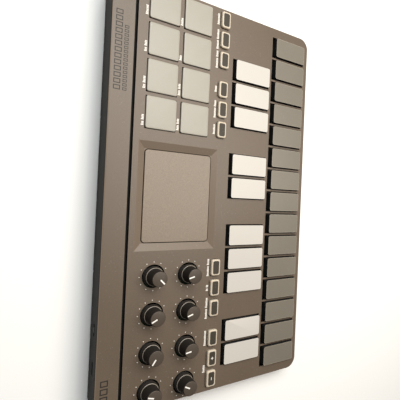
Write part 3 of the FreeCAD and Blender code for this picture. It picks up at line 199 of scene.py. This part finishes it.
def make_settled_dust():
    """Fine specks and lint that settle on faces that look up."""
    speck_grain, speck_size, patch_grain, patch_share, level = 620.0, 0.13, 160.0, 0.56, 0.9
    tree, start, end = new_group("settled_dust", (("Amount", 0.4),), ("Mask",))
    place = tree.nodes.new("ShaderNodeTexCoord")
    specks = tree.nodes.new("ShaderNodeTexVoronoi")
    specks.inputs["Scale"].default_value = speck_grain
    tree.links.new(place.outputs["Object"], specks.inputs["Vector"])
    small = add_math(tree, "LESS_THAN", specks.outputs["Distance"], speck_size)
    patchy = add_math(tree, "GREATER_THAN", add_noise(tree, patch_grain, 2.0), patch_share)
    surface = tree.nodes.new("ShaderNodeNewGeometry")
    facing = tree.nodes.new("ShaderNodeSeparateXYZ")
    tree.links.new(surface.outputs["Normal"], facing.inputs[0])
    upward = add_math(tree, "GREATER_THAN", facing.outputs["Z"], level)
    some = add_math(tree, "MULTIPLY", add_math(tree, "MULTIPLY", small, patchy), upward)
    tree.links.new(add_math(tree, "MULTIPLY", some, start.outputs["Amount"]), end.inputs["Mask"])
    return tree


mould_grain = make_mould_grain()
edge_wear_and_highlight = make_edge_wear_and_highlight()
crevice_shade = make_crevice_shade()
settled_dust = make_settled_dust()
height_step = make_height_step()


def add_group(tree, group, **values):
    """A group node with its inputs set."""
    node = tree.nodes.new("ShaderNodeGroup")
    node.node_tree = group
    for name, value in values.items():
        node.inputs[name].default_value = value
    return node


def add_mix(tree, factor, low, high):
    """A colour between two, by a mask; each colour is a socket or red, green and blue."""
    mix = tree.nodes.new("ShaderNodeMix")
    mix.data_type = "RGBA"
    tree.links.new(factor, mix.inputs["Factor"])
    for socket, colour in ((mix.inputs[6], low), (mix.inputs[7], high)):
        if isinstance(colour, bpy.types.NodeSocket):
            tree.links.new(colour, socket)
        else:
            socket.default_value = (*colour, 1.0)
    return mix.outputs[2]


def shade(colour, factor):
    """A lighter or darker version of a colour."""
    return tuple(min(1.0, channel * factor) for channel in colour)


def add_range(tree, value, low, high):
    """A mask spread over a range of numbers."""
    node = tree.nodes.new("ShaderNodeMapRange")
    tree.links.new(value, node.inputs["Value"])
    node.inputs["To Min"].default_value = low
    node.inputs["To Max"].default_value = high
    return node.outputs["Result"]


def add_scaled(tree, colour, factor):
    """A colour times a number that changes over the surface."""
    scaled = tree.nodes.new("ShaderNodeVectorMath")
    scaled.operation = "SCALE"
    tree.links.new(colour, scaled.inputs[0])
    tree.links.new(factor, scaled.inputs["Scale"])
    return scaled.outputs["Vector"]


fleck_grain = 1700.0
gloss_drift, wall_roughness = 0.05, 0.85
dust_colour, painted_shade_colour = (0.5, 0.48, 0.44), (0.004, 0.004, 0.004)


def moulded(name, colour, roughness, grain=5000.0, depth=0.00001, wear_and_highlight=0.5, wear_and_highlight_width=0.0004,
            worn_and_lit=1.7, dust=0.25, drift=0.1, metallic=0.0, grime=0.92,
            lower=None, step=0.0, blend=0.0003, specular=0.5, fleck=0.0, rim=0.0):
    """A moulded or stamped finish: grain in the bump, drifting tone, edges painted paler as rubbing
    and as a painted highlight, painted shade in gaps, and dust.  With a lower colour, walls and
    everything below the step take it and are duller, which on the case and the keys is painted
    shade; rim paints a highlight on the rounded edge above the walls."""
    material = bpy.data.materials.new(name)
    material.use_nodes = True
    tree = material.node_tree
    shader = tree.nodes["Principled BSDF"]
    surface = add_group(tree, mould_grain, Grain=grain)
    edges = add_group(tree, edge_wear_and_highlight, Width=wear_and_highlight_width, Amount=wear_and_highlight)
    specks = add_group(tree, settled_dust, Amount=dust)
    body = add_mix(tree, surface.outputs["Tone"], shade(colour, 1 - drift), shade(colour, 1 + drift))
    if fleck:
        spray = add_group(tree, mould_grain, Grain=fleck_grain)
        bright = add_range(tree, spray.outputs["Height"], 1 - 2 * fleck, 1 + 2 * fleck)
        body = add_scaled(tree, body, bright)
    # Edges turn paler: partly rubbing, partly a painted highlight.
    worn_lit_and_shaded = add_mix(tree, edges.outputs["Mask"], body, shade(colour, worn_and_lit))
    if lower:
        above = add_group(tree, height_step, Height=step, Blend=blend)
        # A painted highlight on the rounded edge between the top and the walls.
        rounded = add_math(tree, "MULTIPLY", above.outputs["Rim"], rim)
        worn_lit_and_shaded = add_mix(tree, rounded, worn_lit_and_shaded, shade(colour, worn_and_lit))
        # Walls and everything below the step take the lower colour, which on the case and the keys is
        # painted shade.
        worn_lit_and_shaded = add_mix(tree, above.outputs["Mask"], lower, worn_lit_and_shaded)
    dusty = add_mix(tree, specks.outputs["Mask"], worn_lit_and_shaded, dust_colour)
    # Painted shade: gaps and inner corners darken towards near-black.
    shaded = add_group(tree, crevice_shade, Amount=grime)
    gap_shaded = add_mix(tree, shaded.outputs["Mask"], dusty, painted_shade_colour)
    tree.links.new(gap_shaded, shader.inputs["Base Color"])
    dull = add_range(tree, surface.outputs["Tone"], roughness - gloss_drift, roughness + gloss_drift)
    if lower:
        wall_dull = add_math(tree, "SUBTRACT", wall_roughness, above.outputs["Mask"])
        dull = add_math(tree, "MAXIMUM", dull, wall_dull)
    tree.links.new(dull, shader.inputs["Roughness"])
    bump = tree.nodes.new("ShaderNodeBump")
    bump.inputs["Strength"].default_value = 0.6
    bump.inputs["Distance"].default_value = depth
    tree.links.new(surface.outputs["Height"], bump.inputs["Height"])
    tree.links.new(bump.outputs["Normal"], shader.inputs["Normal"])
    shader.inputs["Metallic"].default_value = metallic
    shader.inputs["Specular IOR Level"].default_value = specular
    return material


def finish_node(node, material, edge=0.00015, segments=2):
    """A CAD piece gets its finish, and its sharp edges the small radius that a mould leaves."""
    piece = frame["nodes"][node]
    for material_slot in piece.material_slots:
        material_slot.material = material
    weld = piece.modifiers.new("weld", "WELD")
    weld.merge_threshold = 0.000002
    bevel = piece.modifiers.new("edges", "BEVEL")
    bevel.width = edge
    bevel.segments = segments
    bevel.limit_method = "ANGLE"
    bevel.angle_limit = math.radians(40)


# The near-black lower colour is painted shade on the walls, in the openings and in the groove; rim
# paints a highlight on the rounded top edge.
case_plastic = moulded(
    "case_plastic", (0.119, 0.089, 0.065), 0.38, grain=4200.0, depth=0.000012, wear_and_highlight=0.8, worn_and_lit=2.2,
    lower=(0.008, 0.0075, 0.007), step=-0.0018, specular=0.4, fleck=0.14, rim=0.8,
)
finish_node("upper_case", case_plastic, edge=0.00030, segments=3)

# ---- lower case, battery door, feet and screws ----------------------------------------
# The tray under the case and the sliding door below the cells are a darker grade of the same
# plastic.  Four moulded rubber feet are glued into seats; blackened screws hold the halves.

base_plastic = moulded(
    "base_plastic", (0.010, 0.009, 0.0085), 0.8, grain=4200.0, depth=0.000012, wear_and_highlight=0.35, worn_and_lit=3.0,
    specular=0.3,
)
for node in ("lower_case", "battery_door"):
    finish_node(node, base_plastic)
foot_rubber = moulded(
    "foot_rubber", (0.028, 0.027, 0.026), 0.8, grain=2600.0, depth=0.00003, wear_and_highlight=0.2, dust=0.0,
)
finish_node("rubber_feet", foot_rubber, edge=0.0002)
screw_steel = moulded(
    "screw_steel", (0.10, 0.10, 0.10), 0.35, grain=9000.0, depth=0.000004, metallic=1.0, dust=0.0,
)
finish_node("case_screws", screw_steel, edge=0.0001)

# ---- touch plate ------------------------------------------------------------------------
# A smooth-edged plate of paler plastic with a fine fleck and a very fine matt grain, lying in
# a bevelled recess.

plate_plastic = moulded(
    "plate_plastic", (0.190, 0.146, 0.108), 0.38, grain=7500.0, depth=0.000008, wear_and_highlight=0.3, dust=0.15,
    drift=0.06, fleck=0.25,
)
finish_node("touch_plate", plate_plastic, edge=0.0001)

# ---- trigger pads -----------------------------------------------------------------------
# Eight soft pads of one milky silicone moulding stand through the top.  Each has a faintly
# crowned face and round edges, and a painted paler rim that stands in for light coming through.


def silicone(name, colour, roughness, painted_glow, painted_glow_width, **more):
    """Milky silicone: light spreads inside it, and its edges get a painted paler glow."""
    material = moulded(name, colour, roughness, grain=3000.0, depth=0.000006, wear_and_highlight=painted_glow,
                       wear_and_highlight_width=painted_glow_width, worn_and_lit=1.25, dust=0.1, drift=0.04, **more)
    shader = material.node_tree.nodes["Principled BSDF"]
    shader.inputs["Subsurface Weight"].default_value = 0.35
    shader.inputs["Subsurface Radius"].default_value = (1.0, 0.8, 0.6)
    shader.inputs["Subsurface Scale"].default_value = 0.0018
    return material


def new_piece(name, shape, material, body):
    """An object made from a bmesh, with its finish, riding on a body."""
    bmesh.ops.recalc_face_normals(shape, faces=shape.faces)
    mesh = bpy.data.meshes.new(name)
    shape.to_mesh(mesh)
    shape.free()
    mesh.materials.append(material)
    piece = bpy.data.objects.new(name, mesh)
    bpy.context.scene.collection.objects.link(piece)
    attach(piece, body)
    return piece


def add_block(shape, middle, size):
    """A rectangular block in a bmesh; returns its vertices."""
    made = bmesh.ops.create_cube(shape, size=1.0, matrix=Matrix.LocRotScale(middle, None, size))
    return made["verts"]


def round_block(shape, verts, corner, rim, crown=0.0):
    """Round a block's upright corners and then the rim of its top, and crown the top."""
    some_rise, no_rise, inset_share = 1e-6, 1e-7, 0.4
    top = max(vertex.co.z for vertex in verts)
    upright = [edge for edge in shape.edges
               if abs(edge.verts[0].co.z - edge.verts[1].co.z) > some_rise and edge.verts[0] in verts]
    bmesh.ops.bevel(shape, geom=upright, offset=corner, offset_type="OFFSET", segments=6, profile=0.5,
                    affect="EDGES", material=-1)
    edges = [edge for edge in shape.edges
             if all(abs(vertex.co.z - top) < no_rise for vertex in edge.verts)]
    bmesh.ops.bevel(shape, geom=edges, offset=rim, offset_type="OFFSET", segments=4, profile=0.5,
                    affect="EDGES", material=-1)
    if crown:
        face = max(shape.faces, key=lambda one: (round(one.calc_center_median().z, 7), one.calc_area()))
        step_width = (corner - rim) * inset_share
        for rise in (0.6, 0.4):
            bmesh.ops.inset_region(shape, faces=[face], thickness=step_width, depth=crown * rise)


# The paler rim of the pads is a painted glow.
pad_silicone = silicone("pad_silicone", (0.335, 0.315, 0.270), 0.42, painted_glow=0.8, painted_glow_width=0.0012)
_, pad_high = panel_box("trigger_pads")
pad_size = Vector((0.0210, 0.0206, 0.0060))
pad_corner, pad_rim, pad_crown = 0.0013, 0.0004, 0.0001
pad_columns, pad_rows = 4, 2
pad_pitch, pad_row = 0.0238, 0.0240
pad_margin_right, pad_margin_rear = 0.0004, 0.0010


def pad_right_rear(index):
    """The right and rear edges of a pad, counted from the front left one along each row."""
    column, row = index % pad_columns, index // pad_columns
    right = pad_high.x - pad_margin_right - (pad_columns - 1 - column) * pad_pitch
    rear = pad_high.y - pad_margin_rear - (pad_rows - 1 - row) * pad_row
    return right, rear


for index in range(pad_columns * pad_rows):
    right, rear = pad_right_rear(index)
    middle = Vector((right - pad_size.x / 2, rear - pad_size.y / 2, pad_high.z - pad_size.z / 2))
    pad = bmesh.new()
    verts = add_block(pad, middle, pad_size)
    round_block(pad, verts, pad_corner, pad_rim, crown=pad_crown)
    bmesh.ops.transform(pad, matrix=panel, verts=pad.verts)
    piece = new_piece("trigger_pad_%d" % (index + 1), pad, pad_silicone, "case")
    for face in piece.data.polygons:
        face.use_smooth = True
    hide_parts("trigger_pads")

# ---- keys -------------------------------------------------------------------------------
# Fifteen natural caps with dark satin tops and ten sharp caps with warm white ones, all the
# same low flat shape, moulded hollow.  Their walls are painted near-black as painted shade, playing
# has polished the tops, and the rims are paler partly from rubbing and partly as a painted highlight.

# The near-black lower colours are painted shade on the key walls; rim paints a highlight on the rounded
# top edges.
natural_plastic = moulded(
    "natural_plastic", (0.168, 0.150, 0.122), 0.36, grain=6500.0, depth=0.000006, wear_and_highlight=1.0,
    wear_and_highlight_width=0.0007, worn_and_lit=2.6, dust=0.3, lower=(0.005, 0.0045, 0.004), step=0.0016, blend=0.0002,
    rim=0.7,
)
sharp_plastic = moulded(
    "sharp_plastic", (0.53, 0.503, 0.466), 0.36, grain=6500.0, depth=0.000005, wear_and_highlight=0.8,
    wear_and_highlight_width=0.0006, worn_and_lit=1.45, dust=0.0, drift=0.03, lower=(0.008, 0.007, 0.0065), step=0.0016,
    blend=0.0002, rim=0.8,
)
key_edge, key_edge_segments = 0.0006, 4
for node in frame["nodes"]:
    if node.startswith("natural_key"):
        finish_node(node, natural_plastic, key_edge, key_edge_segments)
    elif node.startswith("sharp_key"):
        finish_node(node, sharp_plastic, key_edge, key_edge_segments)

# ---- push buttons -----------------------------------------------------------------------
# Twelve small milky silicone buttons with rounded, sloping rims, each on a flange below the
# top and with a dark hard inset bonded into its face.  The first two carry a minus and a plus
# sign.

# The paler edges are a painted glow, and the gaps round the buttons get painted shade.
button_silicone = silicone(
    "button_silicone", (0.58, 0.50, 0.40), 0.4, painted_glow=0.6, painted_glow_width=0.0004, grime=0.5,
)
inset_plastic = moulded(
    "inset_plastic", (0.045, 0.038, 0.029), 0.5, grain=6500.0, depth=0.000006, wear_and_highlight=0.3, specular=0.25,
)
white_ink = moulded(
    "white_ink", (0.80, 0.77, 0.72), 0.55, grain=9000.0, depth=0.000003, wear_and_highlight=0.0, dust=0.0,
)
button_nodes = [node for node in frame["nodes"] if node.endswith("_button")]
flange_side, flange_height = 0.0008, 0.0010
button_corner, button_slope = 0.0016, 0.0010
inset_size = Vector((0.0094, 0.0048, 0.0005))
inset_corner, inset_rim = 0.0012, 0.0001
inset_proud = 0.00010
mark_size = Vector((0.0020, 0.00045, 0.00004))
for node in button_nodes:
    low, high = panel_box(node)
    cap = bmesh.new()
    size = high - low - Vector((2 * flange_side, 2 * flange_side, 0.0))
    verts = add_block(cap, (low + high) / 2, size)
    round_block(cap, verts, button_corner, button_slope)
    flange_size = Vector((high.x - low.x, high.y - low.y, flange_height))
    flange_middle = Vector(((low.x + high.x) / 2, (low.y + high.y) / 2, low.z + flange_height / 2))
    add_block(cap, flange_middle, flange_size)
    bmesh.ops.transform(cap, matrix=panel, verts=cap.verts)
    piece = new_piece(node + "_cap", cap, button_silicone, node)
    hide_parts(node)
    face = high.z + inset_proud
    middle = Vector(((low.x + high.x) / 2, (low.y + high.y) / 2, face - inset_size.z / 2))
    inset = bmesh.new()
    verts = add_block(inset, middle, inset_size)
    round_block(inset, verts, inset_corner, inset_rim)
    bmesh.ops.transform(inset, matrix=panel, verts=inset.verts)
    new_piece(node + "_inset", inset, inset_plastic, node)

    mark = None
    if node in ("octave_down_button", "octave_up_button"):
        mark = bmesh.new()
        add_block(mark, Vector((middle.x, middle.y, face)), mark_size)
    if node == "octave_up_button":
        for side in (-1, 1):
            arm = Vector((mark_size.y, (mark_size.x - mark_size.y) / 2, mark_size.z))
            offset = side * (mark_size.y + arm.y) / 2
            add_block(mark, Vector((middle.x, middle.y + offset, face)), arm)
    if mark:
        bmesh.ops.transform(mark, matrix=panel, verts=mark.verts)
        new_piece(node + "_mark", mark, white_ink, node)

# ---- knobs ------------------------------------------------------------------------------
# Eight pushed-on knobs moulded in dark plastic: a finely fluted, slightly tapered barrel with
# a painted highlight on the ring above its skirt, and a white pointer inlaid in the top.  Eleven
# printed dots round each one show its range.

knob_plastic = moulded(
    "knob_plastic", (0.070, 0.054, 0.041), 0.40, grain=6000.0, depth=0.000006, wear_and_highlight=0.8, worn_and_lit=2.8,
    dust=0.15, lower=(0.018, 0.014, 0.011), step=0.0112, blend=0.0004, specular=0.25,
)
# A paler colour on the ring above the skirt: a painted highlight.
knob_rim = moulded(
    "knob_rim", (0.27, 0.235, 0.195), 0.35, grain=6000.0, depth=0.000003, wear_and_highlight=0.0, dust=0.0,
)
pointer_plastic = moulded(
    "pointer_plastic", (0.86, 0.84, 0.80), 0.4, grain=7000.0, depth=0.000003, wear_and_highlight=0.0, dust=0.0,
)
millimetre = 0.001
# radius and height above the panel in millimetres, from the top's middle to the shaft's end
knob_profile = (
    (0.0, 11.80), (4.45, 11.80), (4.75, 11.72), (4.95, 11.50), (5.03, 11.20),
    (5.10, 10.60), (5.58, 3.50), (5.62, 3.00), (5.66, 2.96), (6.02, 2.90), (6.08, 2.78),
    (6.22, 1.40), (6.70, 1.05), (6.85, 0.85), (6.85, 0.62), (6.75, 0.50), (5.60, 0.50),
    (5.60, 1.00), (3.10, 1.00), (3.10, -9.40), (0.0, -9.40),
)
flute_count, flute_depth = 36, 0.00010
flute_low, flute_high = 0.0034, 0.0107
rim_low, rim_high = 0.00288, 0.00297
pointer_size = Vector((0.00090, 0.0040, 0.00050))
pointer_start, pointer_top, pointer_edge = 0.0006, 0.01184, 0.00006
dot_circle, dot_radius, dot_height = 0.0094, 0.00030, 0.00004
dot_count, dot_first, dot_step = 11, -150, 30
for index in range(1, 9):
    name = "knob_%d" % index
    turning = [joint for joint in frame["joints"] if joint["name"] == name + "_turn"][0]
    foot = Vector(turning["pos_m"]) - pivot_height * panel_normal
    # at the middle of its range the pointer faces the rear; at rest the knob is turned from there
    turned = -math.radians(sum(turning["range_deg"]) / 2)
    knob_place = Matrix.Translation(foot) @ panel_turn @ Matrix.Rotation(turned, 4, "Z")
    shell = bmesh.new()
    points = [shell.verts.new(Vector((radius, 0.0, height)) * millimetre)
              for radius, height in knob_profile]
    lines = [shell.edges.new(pair) for pair in zip(points, points[1:])]
    bmesh.ops.spin(shell, geom=points + lines, cent=(0, 0, 0), axis=(0, 0, 1), dvec=(0, 0, 0),
                   angle=2 * math.pi, steps=2 * flute_count, use_merge=True, use_duplicate=False)
    bmesh.ops.remove_doubles(shell, verts=shell.verts, dist=1e-6)
    for vertex in shell.verts:
        step = round(math.atan2(vertex.co.y, vertex.co.x) / math.pi * flute_count)
        if step % 2 and flute_low < vertex.co.z < flute_high:
            radius = vertex.co.xy.length
            vertex.co.xy *= (radius - flute_depth) / radius
    for face in shell.faces:
        if rim_low < face.calc_center_median().z < rim_high:
            face.material_index = 1
    bmesh.ops.transform(shell, matrix=knob_place, verts=shell.verts)
    piece = new_piece(name + "_shell", shell, knob_plastic, name)
    piece.data.materials.append(knob_rim)
    for face in piece.data.polygons:
        face.use_smooth = True
    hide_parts(name)

    pointer = bmesh.new()
    pointer_middle = Vector((0.0, pointer_start + pointer_size.y / 2, pointer_top - pointer_size.z / 2))
    add_block(pointer, pointer_middle, pointer_size)
    bmesh.ops.bevel(pointer, geom=list(pointer.edges), offset=pointer_edge, offset_type="OFFSET",
                    segments=2, profile=0.5, affect="EDGES", material=-1)
    bmesh.ops.transform(pointer, matrix=knob_place, verts=pointer.verts)
    new_piece(name + "_pointer", pointer, pointer_plastic, name)

    dots = bmesh.new()
    for step in range(dot_count):
        angle = math.radians(dot_first + dot_step * step)
        place = Matrix.Translation((dot_circle * math.sin(angle), dot_circle * math.cos(angle), 0))
        bmesh.ops.create_cone(dots, cap_ends=True, segments=16, radius1=dot_radius, radius2=dot_radius,
                              depth=dot_height, matrix=place)
    bmesh.ops.transform(dots, matrix=Matrix.Translation(foot) @ panel_turn, verts=dots.verts)
    new_piece(name + "_dots", dots, white_ink, "case")

# ---- printed marks ----------------------------------------------------------------------
# White screen-printed labels behind the buttons and pads, shown as plain rows of small
# strokes, and dark marks on the strip behind the groove, shown as rows of outlined boxes.

ink_height = 0.00004
dark_ink = moulded(
    "dark_ink", (0.012, 0.009, 0.007), 0.6, grain=9000.0, depth=0.000002, wear_and_highlight=0.0, dust=0.0,
)
stroke_size, stroke_pitch, word_gap = Vector((0.00062, 0.00135, ink_height)), 0.00090, 0.0008
capital, ascender = 1.3, 1.15


def print_words(name, x, y, words):
    """Rows of small strokes of a word's length, from x rightwards, on the panel."""
    label = bmesh.new()
    start = x
    for word in words:
        for place in range(word):
            stretch = ascender if (place * 3 + word) % 5 == 0 else 1.0
            if place == 0:
                stretch = capital
            tall = stroke_size.y * stretch
            middle = Vector((start + stroke_size.x / 2, y + tall / 2, 0.0))
            add_block(label, middle, Vector((stroke_size.x, tall, ink_height)))
            start += stroke_pitch
        start += word_gap
    bmesh.ops.transform(label, matrix=panel, verts=label.verts)
    new_piece(name, label, white_ink, "case")


def words_length(words):
    """The printed length of a row of words."""
    return sum(words) * stroke_pitch + (len(words) - 1) * word_gap - (stroke_pitch - stroke_size.x)


label_clearance = 0.0002
button_words = {
    "sustain_button": (12,), "touch_scale_button": (8, 8), "touch_xy_button": (2, 2),
    "pitch_mod_button": (8, 5), "scene_button": (8,), "shift_button": (8, 5), "arp_button": (5,),
    "chord_pad_button": (8, 5), "scale_guide_button": (7, 8), "repeat_button": (9,),
}
for node, words in button_words.items():
    low, high = panel_box(node)
    middle = (low.x + high.x) / 2
    print_words(node + "_label", middle - words_length(words) / 2, high.y + label_clearance, words)

octave_words = (6,)
octave_low, octave_high = panel_box("octave_down_button")
_, up_high = panel_box("octave_up_button")
middle = (octave_low.x + up_high.x) / 2
print_words("octave_label", middle - words_length(octave_words) / 2, octave_high.y + label_clearance,
            octave_words)

pad_words = ((4, 4), (4, 4), (4,), (6,), (3, 4), (3, 5), (3, 4), (7,))
pad_label_inset, pad_label_gap = 0.0016, 0.0009
for index, words in enumerate(pad_words):
    right, rear = pad_right_rear(index)
    print_words("trigger_pad_%d_label" % (index + 1), right - pad_size.x + pad_label_inset,
                rear + pad_label_gap, words)


def print_frames(name, x, y, count, size, pitch, line):
    """A plain generic mark: a row of upright outlined boxes."""
    mark = bmesh.new()
    for place in range(count):
        middle = Vector((x + place * pitch + size.x / 2, y + size.y / 2, 0.0))
        for side in (-1, 1):
            offset = Vector((side * (size.x - line) / 2, 0.0, 0.0))
            add_block(mark, middle + offset, Vector((line, size.y, ink_height)))
            offset = Vector((0.0, side * (size.y - line) / 2, 0.0))
            add_block(mark, middle + offset, Vector((size.x - 2 * line, line, ink_height)))
    bmesh.ops.transform(mark, matrix=panel, verts=mark.verts)
    new_piece(name, mark, dark_ink, "case")


case_left = cad_box[0].x - panel_point.x
_, case_high = panel_box("upper_case")
# name, place from the left and rear edges, number of boxes, their size, pitch and line
strip_marks = (
    ("strip_mark_right", 0.2040, 0.0068, 13, Vector((0.0029, 0.0042)), 0.0039, 0.00055),
    ("strip_mark_small", 0.2040, 0.0107, 16, Vector((0.0018, 0.0026)), 0.0026, 0.00042),
    ("strip_mark_left", 0.0060, 0.0078, 4, Vector((0.0038, 0.0046)), 0.0049, 0.0007),
)
for name, from_left, from_rear, count, size, pitch, line in strip_marks:
    print_frames(name, case_left + from_left, case_high.y - from_rear, count, size, pitch, line)

# ---- inside -----------------------------------------------------------------------------
# What the case holds: a green solder-masked board with a silicone contact mat on it, eight
# potentiometers, two cells with nickel-plated contacts, the tin-plated socket and the switch.

inner_finishes = (
    ("main_board", "board_laminate", (0.008, 0.045, 0.018), 0.3, 1500.0, 0.0),
    ("contact_mat", "mat_silicone", (0.03, 0.03, 0.03), 0.6, 3000.0, 0.0),
    ("potentiometers", "pot_plastic", (0.045, 0.045, 0.045), 0.5, 5000.0, 0.0),
    ("aaa_cells", "cell_jacket", (0.22, 0.20, 0.17), 0.3, 4000.0, 0.0),
    ("battery_contacts", "contact_metal", (0.62, 0.60, 0.55), 0.3, 8000.0, 1.0),
    ("usb_socket", "socket_metal", (0.60, 0.60, 0.61), 0.32, 8000.0, 1.0),
    ("switch_housing", "switch_metal", (0.45, 0.45, 0.45), 0.4, 8000.0, 1.0),
    ("power_switch", "slider_plastic", (0.030, 0.030, 0.030), 0.45, 5000.0, 0.0),
)
inner_depth, inner_edge = 0.000005, 0.00008
for node, name, colour, roughness, grain, metallic in inner_finishes:
    material = moulded(name, colour, roughness, grain=grain, depth=inner_depth, dust=0.0,
                       metallic=metallic)
    finish_node(node, material, inner_edge)

# ---- floor, light and camera --------------------------------------------------------------
# A pale plain table, a large soft light high on the right, a weaker one over the front, and
# the camera above the rear edge, looking down over the keys with the right end at its top.

floor_shape = bmesh.new()
floor_half = 4.0
bmesh.ops.create_grid(floor_shape, x_segments=1, y_segments=1, size=floor_half)
floor_mesh = bpy.data.meshes.new("floor")
floor_shape.to_mesh(floor_mesh)
floor_shape.free()
floor = bpy.data.objects.new("floor", floor_mesh)
bpy.context.scene.collection.objects.link(floor)
floor_paint = bpy.data.materials.new("floor_paint")
floor_paint.use_nodes = True
paint = floor_paint.node_tree.nodes["Principled BSDF"]
paint.inputs["Base Color"].default_value = (0.90, 0.90, 0.90, 1)
paint.inputs["Roughness"].default_value = 0.7
floor_mesh.materials.append(floor_paint)


def add_softbox(name, place, aim, size, power, colour):
    """A soft rectangular light that faces a point and isn't seen itself."""
    lamp = bpy.data.lights.new(name, "AREA")
    lamp.shape = "RECTANGLE"
    lamp.size, lamp.size_y = size
    lamp.energy = power
    lamp.color = colour
    light = bpy.data.objects.new(name, lamp)
    light.location = place
    light.visible_camera = False
    light.rotation_mode = "QUATERNION"
    light.rotation_quaternion = (Vector(aim) - Vector(place)).to_track_quat("-Z", "Y")
    bpy.context.scene.collection.objects.link(light)


light_aim = (0.03, 0, 0)
add_softbox("overhead", (0.44, 0.10, 0.72), light_aim, (0.5, 0.5), 5.4, (0.97, 1.0, 0.98))
add_softbox("front", (0.15, -0.20, 0.55), light_aim, (0.52, 0.36), 3.5, (1.0, 0.92, 0.82))

world = bpy.data.worlds.new("studio")
world.use_nodes = True
room = world.node_tree.nodes["Background"]
room.inputs["Color"].default_value = (1.0, 0.97, 0.93, 1)
room.inputs["Strength"].default_value = 0.14
bpy.context.scene.world = world
bpy.context.scene.view_settings.view_transform = "Standard"

camera_data = bpy.data.cameras.new("camera")
camera = bpy.data.objects.new("camera", camera_data)
bpy.context.scene.collection.objects.link(camera)
camera_place = Vector((-0.0008, 0.1310, 0.2755))
camera_aim = Vector((0.0022, -0.0468, 0.0200))
picture_top = Vector((0.9991, 0.0404, -0.0164))
forward = (camera_aim - camera_place).normalized()
across = forward.cross(picture_top).normalized()
above = across.cross(forward)
camera_turn = Matrix((across, above, -forward)).transposed().to_4x4()
camera.matrix_world = Matrix.Translation(camera_place) @ camera_turn
camera_data.sensor_width = 36.0
camera_data.lens = 35.13
camera_data.shift_x = -0.1812
camera_data.shift_y = -0.0031
camera_data.clip_start = 0.01
bpy.context.scene.camera = camera
